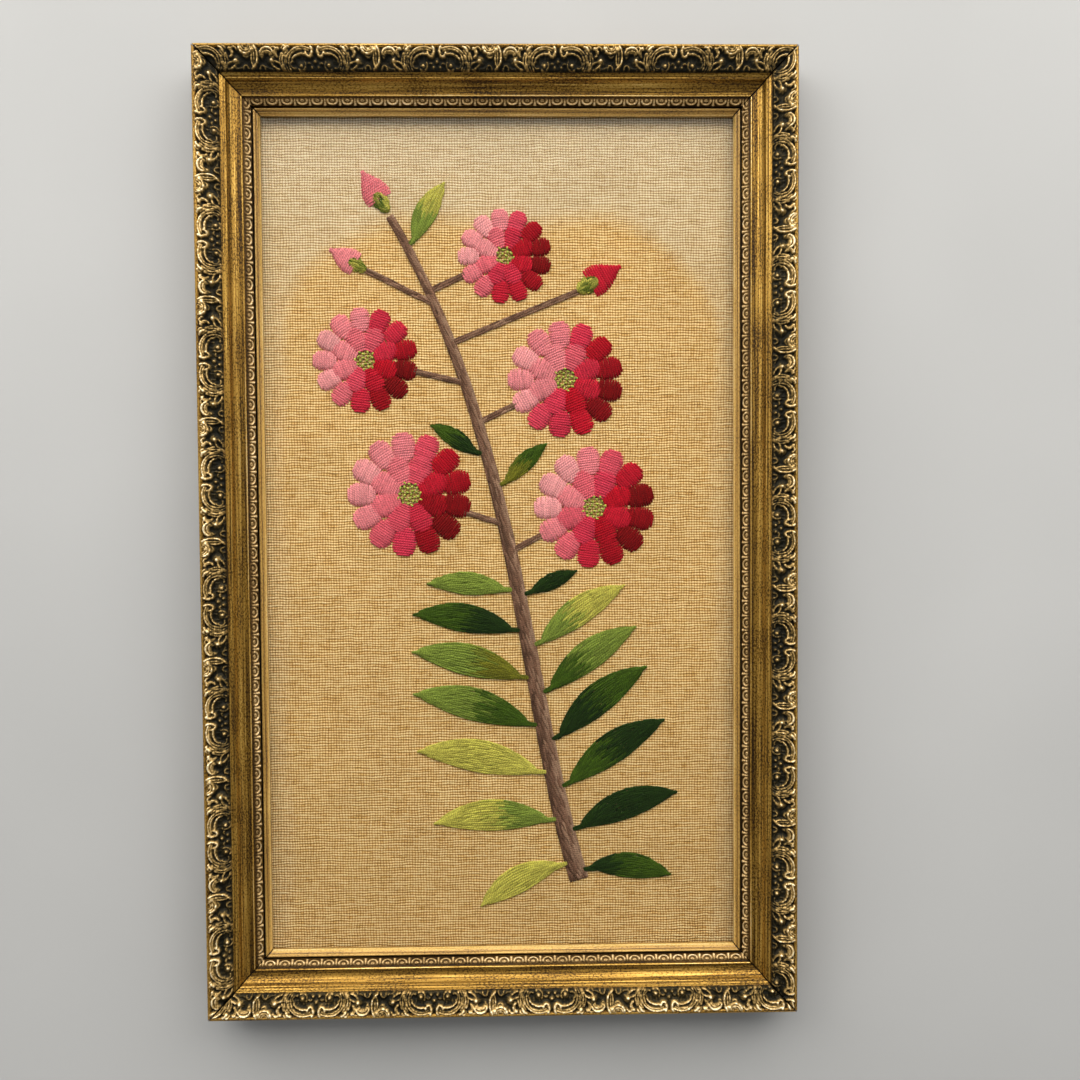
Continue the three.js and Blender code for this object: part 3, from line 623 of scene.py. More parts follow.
# Egg: half sizes along and across, middle across the slope, radius and width of its crest, height
EGG_HALF, EGG_MIDDLE, EGG_CREST, EGG_SOFT, EGG_HEIGHT = (1.7, 1.15), 2.5, 0.5, 0.42, 0.9
# Arch: half sizes, middle, width of its crest, height, where it opens and over what length
ARCH_HALF, ARCH_MIDDLE, ARCH_SOFT, ARCH_HEIGHT, ARCH_OPEN, ARCH_FADE = (3.2, 2.3), 2.6, 0.28, 1.35, 0.7, 1.8
# Dart: half width at its point, gain per millimetre, height, where it starts and over what length
DART_POINT, DART_GAIN, DART_HEIGHT, DART_START, DART_FADE = 0.15, 0.17, 1.25, 0.9, 1.0
# Tone in the hollows, and gain per millimetre of egg, arch and dart
EGG_HOLLOW, EGG_TONE, ARCH_TONE, DART_TONE = -1.1, 1.7, 1.35, 1.3


def egg_row(side, turns):
    """One side's egg-and-dart: on each 10.2 mm a dimpled dome for the egg, a broad arch round it that is open
    at the top, and a wedge between neighbours, as bell curves above the slope."""
    slope = EGG_END - EGG_START
    wide = np.hypot(*slope)
    normal = np.array([-slope[1], slope[0]]) / wide
    across = np.linspace(0, wide, EGG_COLUMNS)
    inset, level = (EGG_START[k] + slope[k] * across / wide for k in (0, 1))
    share = np.linspace(-1, 1, round(2 * half_length(turns, EGG_START[0]) / EGG_STEP))[:, None]
    along = share * half_length(turns, inset)
    cell = (along + EGG_PITCH / 2) % EGG_PITCH - EGG_PITCH / 2
    oval = np.hypot(cell / EGG_HALF[0], (across - EGG_MIDDLE) / EGG_HALF[1])
    egg = EGG_HEIGHT * np.exp(-((oval - EGG_CREST) / EGG_SOFT) ** 2)
    bowl = np.hypot(cell / ARCH_HALF[0], (across - ARCH_MIDDLE) / ARCH_HALF[1])
    opening = np.clip((across - ARCH_OPEN) / ARCH_FADE, 0, 1)
    arch = ARCH_HEIGHT * np.exp(-((bowl - 1.0) / ARCH_SOFT) ** 2) * opening
    gap = (np.abs(cell) - EGG_PITCH / 2) / (DART_POINT + DART_GAIN * across)
    dart = DART_HEIGHT * np.exp(-gap ** 4) * np.clip((across - DART_START) / DART_FADE, 0, 1)
    height = np.maximum.reduce([egg, arch, dart]) - EGG_SUNK
    tone = EGG_HOLLOW + np.maximum.reduce([EGG_TONE * egg, ARCH_TONE * arch, DART_TONE * dart])
    edges = across[[-1, 0]]
    base = [EGG_START[k] + slope[k] * edges / wide - EGG_BASE * normal[k] for k in (0, 1)]
    top = inset + height * normal[0], level + height * normal[1]
    relief_strip("egg_row_" + side, turns, share, along, top, tone, base, np.concatenate([across, edges]),
                 EGG_GILT)


def gilt_frame():
    """Rail, cast scrolls, egg row and slip on each of the four sides."""
    for side, turns, phase, painted_side_light in SIDES:
        moulding("rail_moulding_" + side, turns, RAIL_SECTION, RAIL_GILT, "rail_" + side)
        scroll_strip(side, turns, phase, painted_side_light)
        egg_row(side, turns)
        moulding("slip_moulding_" + side, turns, SLIP_SECTION, SLIP_GILT, "slip_" + side)


# Linen

# Grid of the cloth, and how far its face lies below the solid's and waves
LINEN_COLUMNS, LINEN_ROWS = 117, 202
LINEN_DROP, LINEN_WAVE = 0.12, 0.06
# Waves along X and along Y: length of a radian, and how far the crests swing, with the length of its radian
WAVE_X, WAVE_Y = (31, 1.3, 57), (43, 1.1, 39)
# Warm stain: middle, half sizes and corner radius, width of its soft edge, how far that edge wavers, and the
# lengths of its radians along X and Y
STAIN_MIDDLE = np.array([0.0, -90.0])
STAIN_HALF = np.array([156.0, 310.0])
STAIN_CORNER, STAIN_EDGE, STAIN_WAVER, STAIN_WAVES = 88.0, 16.0, 4.0, (19, 27)
# Beside the stain the cloth is warm too: how much, from which height down and over what length
BESIDE_WARMTH, BESIDE_START, BESIDE_REACH = 0.75, 230.0, 140.0
# Painted light: a paler band along the frame, lifting the shade of its walls on the cloth: gain at the
# left, top, right and bottom edge, and how far it reaches
FRAME_PAINTED_LIGHT = np.array([0.38, 0.38, 0.12, 0.10])
FRAME_PAINTED_LIGHT_REACH = 5.0
# Painted shade: darker towards the foot, as the light falls off down the picture: share of the brightness
# lost, where that starts and how far it takes
FOOT_PAINTED_SHADE, FOOT_START, FOOT_REACH = 0.08, 0.0, 240.0


def linen_sheet():
    """The stretched cloth: a sheet on a 3 mm grid, waved by a tenth of a millimetre by slow sines, closed
    underneath. Its stain attribute is 1 inside a wavy rounded rectangle, fades out over 16 mm, and below
    the rectangle's top corners stays at 0.75 outside it too. Its second attribute is painted light and
    shade: it rises towards the frame, painted light, and falls towards the foot, painted shade."""
    low, high = LINEN_LOW, LINEN_HIGH
    x, y = np.meshgrid(np.linspace(low[0], high[0], LINEN_COLUMNS), np.linspace(low[1], high[1], LINEN_ROWS),
                       indexing="ij")
    waves = [np.sin(own / length + swing * np.sin(other / swing_length))
             for own, other, (length, swing, swing_length) in ((x, y, WAVE_X), (y, x, WAVE_Y))]
    face = high[2] - LINEN_DROP + LINEN_WAVE * (waves[0] + waves[1])
    layers = [np.stack([x, y, level], axis=-1).reshape(-1, 3) for level in (face, low[2] + 0 * x)]
    points = np.concatenate(layers)
    count = x.size
    index = np.arange(count).reshape(x.shape)
    sheet = np.stack([index[:-1, :-1], index[1:, :-1], index[1:, 1:], index[:-1, 1:]], axis=-1).reshape(-1, 4)
    border = np.concatenate([index[:-1, 0], index[-1, :-1], index[:0:-1, -1], index[0, :0:-1]])
    after = np.roll(border, -1)
    wall = np.stack([border, border + count, after + count, after], axis=-1)
    right, up = points[:, 0], points[:, 1]
    away = np.abs(points[:, :2] - STAIN_MIDDLE) - (STAIN_HALF - STAIN_CORNER)
    outside = np.hypot(*np.maximum(away, 0).T) + np.minimum(away.max(axis=1), 0) - STAIN_CORNER
    outside += STAIN_WAVER * np.sin(right / STAIN_WAVES[0] + 1) * np.sin(up / STAIN_WAVES[1])
    beside = BESIDE_WARMTH * np.clip((BESIDE_START - up) / BESIDE_REACH, 0, 1)
    stain = np.maximum(np.clip(0.5 - outside / STAIN_EDGE, 0, 1), beside)
    wide, tall = OUTER_WIDTH / 2 - SLIP_INNER, OUTER_HEIGHT / 2 - SLIP_INNER
    inward = np.stack([wide + right, tall - up, wide - right, tall + up], axis=-1)
    # Painted light: paler close to the frame, lifting the shade of its walls
    painted_light_and_shade = 1 + np.exp(-np.maximum(inward, 0) / FRAME_PAINTED_LIGHT_REACH) @ FRAME_PAINTED_LIGHT
    # Painted shade: darker towards the foot
    painted_light_and_shade *= 1 - FOOT_PAINTED_SHADE * np.clip((FOOT_START - up) / FOOT_REACH, 0, 1)
    made = make_piece("linen_sheet", points, [sheet, (sheet + count)[:, ::-1], wall], LINEN,
                      "linen_ground")
    for name, values in (("stain", stain), ("painted_light_and_shade", painted_light_and_shade)):
        made.data.attributes.new(name, "FLOAT", "POINT").data.foreach_set("value", values.astype(np.float32))
    return made


# Wool stitches

# Strand: distance to its neighbour, radius, rings along it and points round it
STRAND_PITCH, STRAND_RADIUS, STRAND_SECTIONS, STRAND_SIDES = 1.65, 0.96, 7, 6
# How far its ends' middles lie under the cloth's face, and shares: thickness at the ends, height to width
STRAND_SUNK, STRAND_END, STRAND_FLAT = 0.35, 0.74, 0.85
# Long-and-short stitch: step in a lane and shortest stitch as shares of a stitch, unevenness as a share of
# the step; lift, and unevenness of lean, lift and bow
FILL_STEP, FILL_SHORTEST, FILL_UNEVEN = 0.62, 0.3, 0.22
FILL_LIFT, LEAN_UNEVEN, LIFT_UNEVEN, BOW_UNEVEN = 0.75, 0.25, 0.1, 0.2
# Satin stitch: radius, lift, unevenness of its ends and of its slant, spread of its shade, fewest strands
SATIN_RADIUS, SATIN_LIFT, SATIN_UNEVEN, SATIN_SLANT = 0.95, 0.8, 0.22, 0.25
SATIN_SPREAD, SATIN_FEWEST = 0.10, 3
# Knot: radius, half length, lift, spread of its shade; distance to its neighbours, packing, turn to the next
# and fewest in a heart
KNOT_RADIUS, KNOT_HALF, KNOT_LIFT, KNOT_SPREAD = 1.15, 0.75, 0.9, 0.18
KNOT_PITCH, KNOT_PACKING, KNOT_TURN, KNOT_FEWEST = 1.5, 0.8, math.radians(137.5), 7
# Points that measure the length of a curve, and the widest place of an outline
CURVE_POINTS, OUTLINE_POINTS = 301, 61


def uneven(most, shape=None):
    """Random offsets of up to that much either way."""
    return chance.uniform(-most, most, shape)


def strands(start, end, lift, tint, radius=STRAND_RADIUS, bow=0.0, seat=0.0):
    """Stitches as tubes: each goes from its start to its end, rises by its lift as 1 - (2t-1)^4, thins as
    (2t-1)^6 and dives into the cloth at both ends. Gives points, faces, UV along and around, and tint."""
    count = len(start)
    t = np.linspace(0, 1, STRAND_SECTIONS)
    turn = -math.pi / 2 + np.arange(STRAND_SIDES) * 2 * math.pi / STRAND_SIDES
    run = end - start
    length = np.maximum(np.hypot(run[:, 0], run[:, 1]), 1e-6)
    normal = np.stack([-run[:, 1], run[:, 0]], axis=-1) / length[:, None]
    bow = np.broadcast_to(bow, count)[:, None] * 4 * t * (1 - t)
    middle = start[:, None] + run[:, None] * t[:, None] + normal[:, None] * bow[..., None]
    rise = 1 - (2 * t - 1) ** 4
    level = LINEN_TOP - STRAND_SUNK + np.broadcast_to(seat, count)[:, None] + lift[:, None] * rise
    taper = STRAND_END + (1 - STRAND_END) * (1 - (2 * t - 1) ** 6)
    thick = np.broadcast_to(radius, count)[:, None] * taper
    side = thick[..., None] * np.cos(turn)
    flat = middle[:, :, None] + normal[:, None, None] * side[..., None]
    tall = level[..., None] + STRAND_FLAT * thick[..., None] * np.sin(turn)
    points = np.concatenate([flat, tall[..., None]], axis=-1).reshape(-1, 3)
    quads, caps = ring_faces(STRAND_SECTIONS, STRAND_SIDES)
    offset = (np.arange(count) * STRAND_SECTIONS * STRAND_SIDES)[:, None, None]
    along = np.broadcast_to((length[:, None] * t)[..., None], tall.shape)
    # Around the strand counts 1 m a turn, so that the twist reads whole turns
    around = np.broadcast_to(np.arange(STRAND_SIDES) / STRAND_SIDES / MM, tall.shape)
    uv = np.stack([along, around], axis=-1).reshape(-1, 2)
    shade = np.repeat(tint, STRAND_SECTIONS * STRAND_SIDES, axis=0)
    return points, (quads + offset).reshape(-1, 4), (caps + offset).reshape(-1, STRAND_SIDES), uv, shade


def stitched_piece(name, groups, material, node):
    """One motif of joined groups of strands, in place of its solid."""
    points, *kinds, uv, tint = zip(*groups)
    firsts = np.cumsum([0] + [len(group) for group in points[:-1]])
    faces = [np.concatenate([group + first for group, first in zip(kind, firsts)]) for kind in kinds]
    make_piece(name, np.concatenate(points), faces, material, node,
               uv=np.concatenate(uv), tint=np.concatenate(tint))


def shades(codes, place, spread):
    """Linear colours read at places from 0 to 1 along a row of hex shades, each strand off by a spread."""
    row = np.array([linear(code)[:3] for code in codes])
    spots = np.linspace(0, 1, len(codes))
    colour = np.stack([np.interp(place, spots, row[:, k]) for k in range(3)], axis=-1)
    return colour * (1 + spread * uneven(1, (len(place), 1)))


def curve_spots(control, t):
    """Points of a smooth curve at t and the direction there: each two neighbouring controls are mixed by t,
    again and again, until two are left."""
    rows = np.array(control, dtype=float)[:, None, :] + np.zeros((1, len(t), 1))
    while len(rows) > 2:
        rows = rows[:-1] + (rows[1:] - rows[:-1]) * t[:, None]
    way = rows[1] - rows[0]
    return rows[0] + way * t[:, None], way


def track(control, share):
    """Points and left normals of such a curve at shares of its length, and that length."""
    fine = np.linspace(0, 1, CURVE_POINTS)
    spots, _ = curve_spots(control, fine)
    run = np.concatenate([[0], np.cumsum(np.hypot(*np.diff(spots, axis=0).T))])
    point, way = curve_spots(control, np.interp(share, run / run[-1], fine))
    way = way / np.hypot(way[:, :1], way[:, 1:])
    return point, np.stack([-way[:, 1], way[:, 0]], axis=-1), run[-1]


def filling(control, half_at, stitch, tint_at, crown, slant=0.35, trim=0.07):
    """Long-and-short stitch: lanes of strands along a curve, each at its own share of the outline's width
    and half a step out of line with the next. The outermost lanes stop short of both ends by the trim's
    share of the length, and lie lower by the crown. tint_at gives the strands their colours, from the share
    of the length at their middles and their offset across."""
    length = track(control, np.zeros(1))[2]
    widest = half_at(np.linspace(0, 1, OUTLINE_POINTS)).max()
    most = max(1, round((widest - STRAND_RADIUS) / STRAND_PITCH))
    step = FILL_STEP * stitch
    rows = np.arange(-1, int(length / step) + 2)
    lane, row = (grid.ravel() for grid in np.meshgrid(np.arange(2 * most + 1), rows, indexing="ij"))
    side = lane / most - 1
    middle = (row + 0.5 * (lane % 2) + uneven(FILL_UNEVEN, lane.size)) * step
    first, last = trim * np.abs(side) * length, (1 - trim * np.abs(side)) * length
    start = np.clip(middle - stitch / 2, first, last)
    end = np.clip(middle + stitch / 2, first, last)
    kept = end - start > FILL_SHORTEST * stitch
    side, start, end = side[kept], start[kept] / length, end[kept] / length
    room_start, room_end = (np.maximum(half_at(share) - STRAND_RADIUS, 0) for share in (start, end))
    lean = (slant + uneven(LEAN_UNEVEN, side.size)) * (1 - side ** 2)
    from_point, from_normal, _ = track(control, start)
    to_point, to_normal, _ = track(control, end)
    lift = FILL_LIFT + crown * (1 - side ** 2) + uneven(LIFT_UNEVEN, side.size)
    return strands(
        from_point + from_normal * (side * room_start - lean)[:, None],
        to_point + to_normal * (side * room_end + lean)[:, None],
        lift, tint_at((start + end) / 2, side * (room_start + room_end) / 2),
        bow=uneven(BOW_UNEVEN, side.size),
    )


def satin(middle, axis, length, half_at, tint, crown, seat=0.0):
    """Satin stitch: strands straight across an axis, a thread apart, as wide as the outline there. Their
    crown is highest half-way along."""
    count = max(SATIN_FEWEST, round(length / STRAND_PITCH))
    share = (np.arange(count) + 0.5) / count
    half = half_at(share) + uneven(SATIN_UNEVEN, count)
    spot = middle + axis * (length * share)[:, None]
    reach = np.array([-axis[1], axis[0]]) * half[:, None]
    tilt = axis * uneven(SATIN_SLANT, (count, 1))
    lift = SATIN_LIFT + crown * np.sin(math.pi * share) ** 0.6
    tints = tint * (1 + SATIN_SPREAD * uneven(1, (count, 1)))
    return strands(spot - reach - tilt, spot + reach + tilt, lift, tints, SATIN_RADIUS, seat=seat)


def knots(middle, reach, tint, seat):
    """French knots packed in a disc on a sunflower spiral: each is a strand that is thicker than long."""
    count = max(KNOT_FEWEST, round((reach / KNOT_PITCH) ** 2 * KNOT_PACKING))
    turn = np.arange(count) * KNOT_TURN
    out = reach * np.sqrt((np.arange(count) + 0.5) / count)
    spot = middle + np.stack([np.cos(turn), np.sin(turn)], axis=-1) * out[:, None]
    way = chance.uniform(0, 2 * math.pi, count)
    half = np.stack([np.cos(way), np.sin(way)], axis=-1) * KNOT_HALF
    tints = tint * (1 + KNOT_SPREAD * uneven(1, (count, 1)))
    return strands(spot - half, spot + half, np.full(count, KNOT_LIFT), tints, KNOT_RADIUS, seat=seat)


# Stem: controls of its curve, half widths at the foot and the tip, length of its stitches, crown and slant
STEM_CURVE = [(54, -246), (14, -110), (14, 70), (-76, 224)]
STEM_FOOT, STEM_TIP, STEM_STITCH, STEM_CROWN, STEM_SLANT = 7.0, 3.0, 13.0, 0.7, 0.8
# Bark: width on which it goes from dark to pale, unevenness of that, spread of its shade
BARK_WIDTH, BARK_UNEVEN, BARK_SPREAD = 12, 0.35, 0.1
# Stalk: half width, stitches, crown, share of a blossom's reach where it ends and how far it runs into a bud
STALK_HALF, STALK_STITCH, STALK_CROWN, STALK_END, STALK_IN_BUD = 2.2, 11.0, 0.25, 0.86, 3.0
# Blossom: name, middle, reach, share of the stem where its stalk leaves
BLOSSOMS = [
    ("lower_right", (66, 20), 43, 0.49),
    ("middle_left", (-64, 30), 44, 0.53),
    ("upper_right", (46, 110), 41, 0.68),
    ("upper_left", (-94, 124), 37, 0.74),
    ("top", (4, 196), 33, 0.88),
]
# Bud: name, base, angle, length, half width, share of the stem
BUDS = [
    ("top", (-77, 226), 122, 34, 10, 1.0),
    ("right", (54, 171), 30, 36, 11, 0.80),
    ("left", (-92, 186), 150, 30, 9, 0.86),
]
# Leaf: share of the stem, side, lean from the stem, length, half width, bend, shades of base and tip
LEAVES = [
    (0.015, -1, 112, 60, 9.5, 0.07, "deep", "green"),
    (0.03, 1, 102, 66, 10.0, -0.07, "lime", "lime"),
    (0.075, -1, 84, 76, 11.0, 0.06, "deep", "deep"),
    (0.095, 1, 78, 84, 11.5, -0.06, "leaf", "lime"),
    (0.14, -1, 68, 84, 11.5, 0.05, "green", "deep"),
    (0.165, 1, 68, 90, 12.0, -0.05, "lime", "lime"),
    (0.21, -1, 62, 82, 11.5, 0.05, "deep", "green"),
    (0.235, 1, 64, 88, 12.0, -0.05, "green", "leaf"),
    (0.28, -1, 64, 78, 11.0, 0.05, "green", "leaf"),
    (0.305, 1, 66, 82, 11.5, -0.05, "olive", "leaf"),
    (0.35, -1, 66, 74, 10.5, 0.05, "leaf", "lime"),
    (0.375, 1, 70, 74, 10.5, -0.05, "deep", "green"),
    (0.425, -1, 76, 38, 6.5, 0.03, "deep", "deep"),
    (0.435, 1, 74, 58, 8.5, -0.05, "leaf", "leaf"),
    (0.585, -1, 60, 42, 7.0, 0.04, "olive", "green"),
    (0.635, 1, 42, 40, 7.0, -0.04, "deep", "green"),
    (0.95, -1, 56, 48, 8.5, 0.05, "leaf", "lime"),
]
# Every leaf: distance from the stem, stitches, crown, and the bounds of the share where its shade changes
LEAF_GAP, LEAF_STITCH, LEAF_CROWN, LEAF_CHANGE = 1.6, 12.5, 0.75, (0.38, 0.55)
# Its outline: share of the length where it is fullest, roundness, and least share of the half width
LEAF_FULLEST, LEAF_ROUND, LEAF_LEAST = 0.5, 0.85, 0.2
# Its change of shade: how jagged and how steep it is, and spread of each shade
LEAF_JAGGED, LEAF_STEEP, LEAF_SPREAD = 0.1, 6, 0.22
# Three stitches tie each leaf to the stem: distance between them at the leaf and the share of it left at the
# stem, share of the stem's half width where they start, reach into the leaf, lift and spread of their shade
TIE_APART, TIE_NARROW, TIE_FROM = 1.2, 0.4, 0.45
TIE_INTO, TIE_LIFT, TIE_SPREAD = 8, 1.25, 0.2
# Ring of petals: how many, start, end and half width as shares of the reach, crown, seat above the cloth, and
# how much of the painted side shading, pale pink on the lit left to crimson on the shaded right, it shows
PETAL_RINGS = [
    (13, 0.54, 0.99, 0.192, 0.65, 0.0, 1.0),
    (8, 0.17, 0.63, 0.20, 0.6, 0.35, 0.6),
]
# Every petal: powers that round its outline along and across, unevenness and spread of its shade, and how far
# the shaded crimson side is turned down from the right, in radians
PETAL_ALONG, PETAL_ACROSS, PETAL_UNEVEN, PETAL_SPREAD, SHADED_SIDE_TURN = 3.2, 2.4, 0.12, 0.06, 0.35
# Heart of a blossom: its share of the reach, its seat and its colour
HEART_SHARE, HEART_SEAT, HEART_GREEN = 0.2, 0.75, "#A9B24E"
# Every bud: share where its petals start and where its calyx ends, crowns of both, stitches of the calyx
BUD_START, CALYX_END, BUD_CROWN, CALYX_CROWN, CALYX_STITCH = 0.3, 0.5, 0.6, 0.95, 9.0
# Its outline: share of the length where it is fullest, least share of the half width for bud and calyx, and
# how much the calyx narrows to its end
BUD_FULLEST, BUD_LEAST, CALYX_LEAST, CALYX_TAPER = 0.42, 0.16, 0.2, 0.55
# Its shade: place among the pinks, gain towards crimson as it points right, painted shade as on the
# blossoms' right side, and spread of bud and calyx
BUD_PINK, BUD_GAIN, BUD_SPREAD, CALYX_SPREAD = 0.45, 0.3, 0.05, 0.15
# Shades of wool: greens by name, pinks from pale to crimson, browns from dark to pale
GREENS = {"deep": "#182C06", "green": "#364C0C", "olive": "#68661A", "leaf": "#718032", "lime": "#B0A74A"}
PINKS = ["#E2989C", "#DC7882", "#CE3852", "#B40A22", "#740206"]
BROWNS = ["#50372A", "#785645", "#987864"]


def fullness(fullest):
    """Outline of a leaf or bud from 0 to 1 and back, widest at its share of the length."""
    power = math.log(0.5) / math.log(fullest)
    return lambda share: np.sin(math.pi * np.clip(share, 0, 1) ** power)


def stem_half(share):
    """Half width of the stem at shares of its length."""
    return STEM_FOOT + (STEM_TIP - STEM_FOOT) * share


def stem_stitches():
    """The stem and its stalks in long strands of brown wool, darker on the left side."""
    def bark(_, offset):
        place = np.clip(0.5 - offset / BARK_WIDTH + uneven(BARK_UNEVEN, len(offset)), 0, 1)
        return shades(BROWNS, place, BARK_SPREAD)

    groups = [filling(STEM_CURVE, stem_half, STEM_STITCH, bark, STEM_CROWN, STEM_SLANT, trim=0)]
    stalks = [(spot, STALK_END * reach, at) for _, spot, reach, at in BLOSSOMS]
    stalks += [(base, -STALK_IN_BUD, at) for _, base, _, _, _, at in BUDS if at < 1]
    for spot, short, at in stalks:
        root = track(STEM_CURVE, np.array([at]))[0][0]
        way = np.array(spot, dtype=float) - root
        tip = np.array(spot) - way / np.hypot(*way) * short
        groups.append(filling([root, (root + tip) / 2, tip], lambda share: STALK_HALF + 0 * share,
                              STALK_STITCH, bark, STALK_CROWN, trim=0))
    stitched_piece("stem_stitches", groups, BROWN_WOOL, "stem")


def leaf_stitches(name, at, side, lean, length, half, bend_share, base_shade, tip_shade):
    """One lance leaf in long-and-short stitch, with a jagged change of shade along its length."""
    point, normals, _ = track(STEM_CURVE, np.array([at]))
    root, normal = point[0], normals[0]
    base = root + side * normal * (stem_half(at) + LEAF_GAP)
    angle = math.atan2(-normal[0], normal[1]) + side * math.radians(lean)
    way = np.array([math.cos(angle), math.sin(angle)])
    across = np.array([-way[1], way[0]])
    tip = base + way * length
    control = [base, (base + tip) / 2 + across * 2 * bend_share * length, tip]
    outline = fullness(LEAF_FULLEST)
    border = chance.uniform(*LEAF_CHANGE)

    def two_tone(middle, offset):
        place = np.clip((middle - border + uneven(LEAF_JAGGED, len(offset))) * LEAF_STEEP + 0.5, 0, 1)
        return shades([GREENS[base_shade], GREENS[tip_shade]], place, LEAF_SPREAD)

    blade = filling(control, lambda s: half * np.maximum(LEAF_LEAST, outline(s) ** LEAF_ROUND), LEAF_STITCH,
                    two_tone, LEAF_CROWN)
    apart = np.array([-TIE_APART, 0.0, TIE_APART])[:, None] * across
    tints = shades([GREENS[base_shade]], np.zeros(3), TIE_SPREAD)
    ties = strands(root + side * normal * TIE_FROM * stem_half(at) + TIE_NARROW * apart,
                   base + way * TIE_INTO + apart, np.full(3, TIE_LIFT), tints)
    stitched_piece(name + "_stitches", [blade, ties], GREEN_WOOL, name)


def petal_half(wide):
    """Half width of a petal pad along its length: full for most of it, rounded at both ends."""
    return lambda share: wide * (1 - np.abs(2 * share - 1) ** PETAL_ALONG) ** (1 / PETAL_ACROSS)


def blossom_stitches(name, spot, reach):
    """A ringed rosette of padded satin petals, thirteen outside and eight inside, paler on the left and
    deep crimson on the right, with a heart of knots. The pinks are the wool's own; setting them paler on
    the left and deeper on the right is painted light and shade, as if lit from the left."""
    spot = np.array(spot, dtype=float)
    groups = []
    for count, inner, outer, wide, crown, seat, side_shading in PETAL_RINGS:
        for k in range(count):
            angle = (2 * k + 1) * math.pi / count
            axis = np.array([math.cos(angle), math.sin(angle)])
            # Painted light and shade: petals towards the left take paler pinks, those towards the right
            # deeper crimson
            place = 0.5 + 0.5 * math.cos(angle + SHADED_SIDE_TURN) * side_shading
            place = np.clip(np.array([place + uneven(PETAL_UNEVEN)]), 0, 1)
            groups.append(satin(spot + axis * inner * reach, axis, (outer - inner) * reach,
                                petal_half(wide * reach), shades(PINKS, place, PETAL_SPREAD)[0], crown, seat))
    groups.append(knots(spot, HEART_SHARE * reach, np.array(linear(HEART_GREEN)[:3]), HEART_SEAT))
    stitched_piece(f"blossom_{name}_stitches", groups, PINK_WOOL, f"blossom_{name}")


def bud_stitches(name, base, angle, length, half):
    """A closed bud: satin stitch across its upper part and a green calyx of long strands at its base."""
    way = np.array([math.cos(math.radians(angle)), math.sin(math.radians(angle))])
    base = np.array(base, dtype=float)
    outline = fullness(BUD_FULLEST)
    rest = 1 - BUD_START
    # Painted shade: a bud that points to the right takes a deeper crimson
    pink = BUD_PINK + BUD_GAIN * math.cos(math.radians(angle))
    tint = shades(PINKS, np.array([pink]), BUD_SPREAD)[0]
    flower = satin(base + way * BUD_START * length, way, rest * length,
                   lambda s: half * np.maximum(BUD_LEAST, outline(BUD_START + rest * s)), tint, BUD_CROWN)

    def calyx(_, offset):
        return shades([GREENS["green"], GREENS["lime"]], chance.uniform(0, 1, len(offset)), CALYX_SPREAD)

    tip = base + way * CALYX_END * length
    sepals = filling([base, (base + tip) / 2, tip],
                     lambda s: half * np.maximum(CALYX_LEAST, outline(CALYX_END * s) * (1 - CALYX_TAPER * s)),
                     CALYX_STITCH, calyx, CALYX_CROWN)
    stitched_piece(f"bud_{name}_stitches", [flower, sepals], PINK_WOOL, f"bud_{name}")


def embroidery():
    """All motifs, in the order stem, leaves, blossoms, buds."""
    stem_stitches()
    for number, row in enumerate(LEAVES, start=1):
        leaf_stitches(f"leaf_{number:02d}", *row)
    for name, spot, reach, _ in BLOSSOMS:
        blossom_stitches(name, spot, reach)
    for name, base, angle, length, half, _ in BUDS:
        bud_stitches(name, base, angle, length, half)


gilt_frame()
cloth = linen_sheet()
embroidery()

for node, finish in (("glass_pane", picture_glass()), ("backing_board", brown_hardboard())):
    kept = bpy.data.objects[node]
    kept.data.materials.clear()
    kept.data.materials.append(finish)


# Stage, light and camera

# Floor: half its width, and its level just under the picture
FLOOR_REACH, FLOOR_LEVEL = 60.0, -0.0002
# Light: name, place, aim, width and height, power in watts, colour
LIGHTS = [
    ("key", (-0.1, 1.55, 1.15), (0, 0.0, 0.05), (3.6, 2.3), 88, "#FFFAF3"),
    ("left_fill", (-1.4, 0.9, 1.0), (0, 0.2, 0), (1.0, 1.2), 8, "#F8F8F7"),
    ("right_fill", (1.4, 0.9, 1.0), (0, 0.2, 0), (1.0, 1.2), 9, "#F8F6F3"),
]
# Direction of the darkest spot overhead
ROOM_TOP = (0.0, -0.15, 0.985)


def pale_floor():
    """A wide matt pale floor just under the picture, with the faintest mottling."""
    material, tree, shader = new_material("matt_pale_floor")
    place = add(tree, "TexCoord").outputs["Object"]
    mottle = add(tree, "TexNoise", {"Vector": place, "Scale": 4.0, "Detail": 2.0})
    colour = add(tree, "ValToRGB", {"Fac": mottle}, stops=[(0.2, "#AAABAB"), (0.8, "#B2B3B3")])
    wire(tree, shader, {"Base Color": colour, "Roughness": 0.9})
    mesh = bpy.data.meshes.new("floor")
    signs = ((-1, -1), (1, -1), (1, 1), (-1, 1))
    corners = [(x * FLOOR_REACH, y * FLOOR_REACH, FLOOR_LEVEL) for x, y in signs]
    mesh.from_pydata(corners, [], [(0, 1, 2, 3)])
    mesh.materials.append(material)
    floor = bpy.data.objects.new("floor", mesh)
    bpy.context.scene.collection.objects.link(floor)


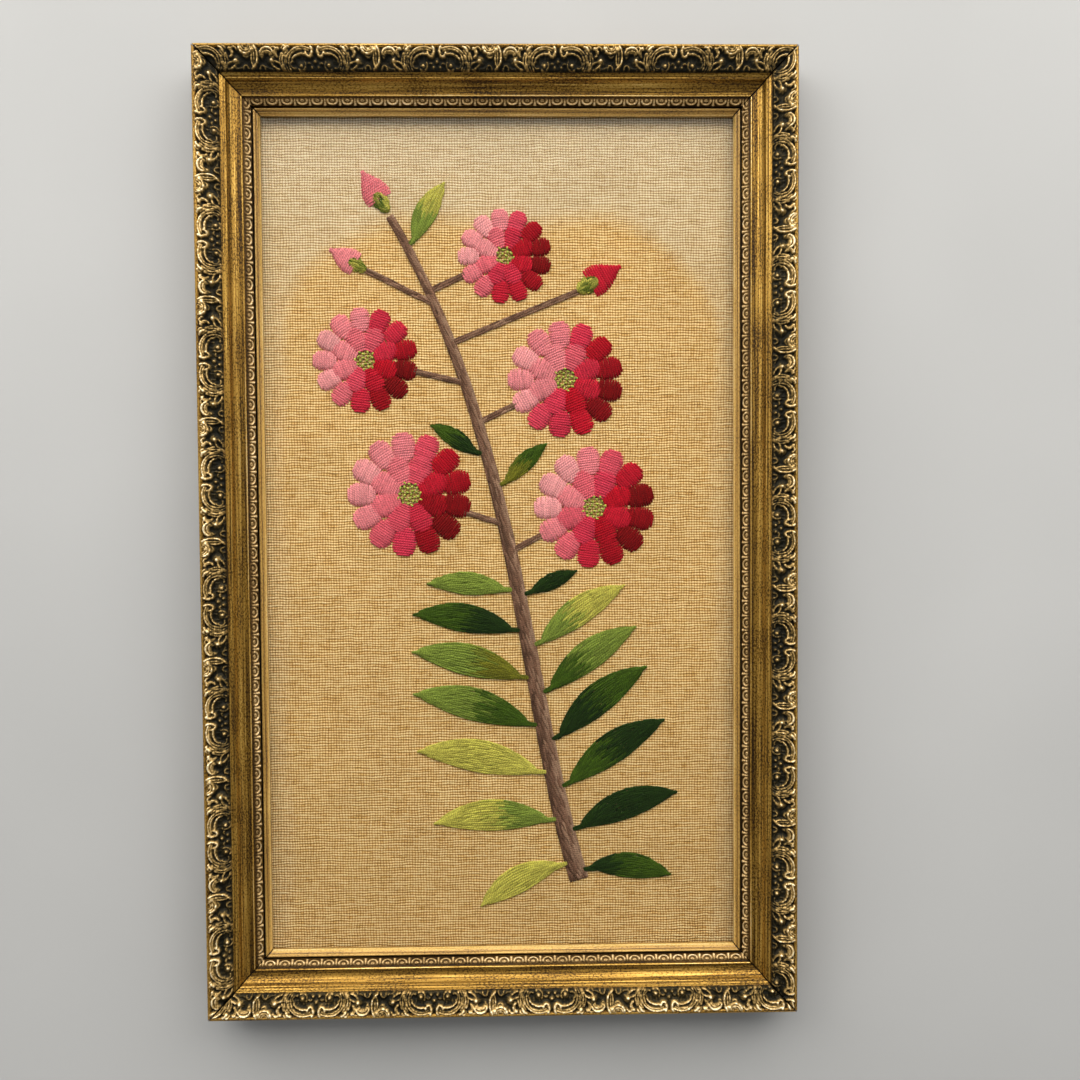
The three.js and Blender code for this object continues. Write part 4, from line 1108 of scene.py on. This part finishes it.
def soft_light(name, spot, aim, size, power, colour):
    """A rectangular soft light at a spot, turned to its aim."""
    lamp = bpy.data.lights.new(name, "AREA")
    lamp.shape = "RECTANGLE"
    lamp.size, lamp.size_y = size
    lamp.energy = power
    lamp.color = linear(colour)[:3]
    made = bpy.data.objects.new(name, lamp)
    made.location = spot
    made.rotation_euler = (Vector(aim) - Vector(spot)).to_track_quat("-Z", "Y").to_euler()
    bpy.context.scene.collection.objects.link(made)


def studio():
    """A broad soft light from beyond the picture's top edge, weak ones from its upper left and right, and a
    pale grey room that is darker overhead."""
    for row in LIGHTS:
        soft_light(*row)
    world = bpy.data.worlds.new("grey_room")
    world.use_nodes = True
    tree = world.node_tree
    way = add(tree, "TexCoord").outputs["Generated"]
    height = add(tree, "VectorMath", {0: way, 1: ROOM_TOP}, operation="DOT_PRODUCT")
    walls = add(tree, "ValToRGB", {"Fac": height.outputs["Value"]},
                stops=[(0.68, "#B8B8B6"), (0.92, "#505050")])
    wire(tree, tree.nodes["Background"], {"Color": walls})
    bpy.context.scene.world = world
    bpy.context.scene.view_settings.view_transform = "Standard"


# Pose of the camera over the picture: turns in radians about X, Y and Z, offset in mm and the lens in pixels
CAMERA_TURNS = (0.0350, 0.0205, 0.0072)
CAMERA_OFFSET = (-27.53, 2.76, -768.1)
LENS_PIXELS = 1082
IMAGE_PIXELS = 1080
SENSOR = 36.0


def photo_camera():
    """Looks down on the picture nearly square to it, as in the photograph."""
    rx, ry, rz = CAMERA_TURNS
    turned = Matrix.Rotation(rz, 3, "Z") @ Matrix.Rotation(ry, 3, "Y") @ Matrix.Rotation(rx, 3, "X")
    back = turned.transposed()
    lens = bpy.data.cameras.new("photo_camera")
    lens.sensor_width = SENSOR
    lens.lens = SENSOR * LENS_PIXELS / IMAGE_PIXELS
    lens.clip_start = 0.01
    camera = bpy.data.objects.new("photo_camera", lens)
    spot = back @ Vector(CAMERA_OFFSET) * -MM
    camera.matrix_world = Matrix.Translation(spot) @ back.to_4x4()
    bpy.context.scene.collection.objects.link(camera)
    bpy.context.scene.camera = camera


pale_floor()
studio()
photo_camera()
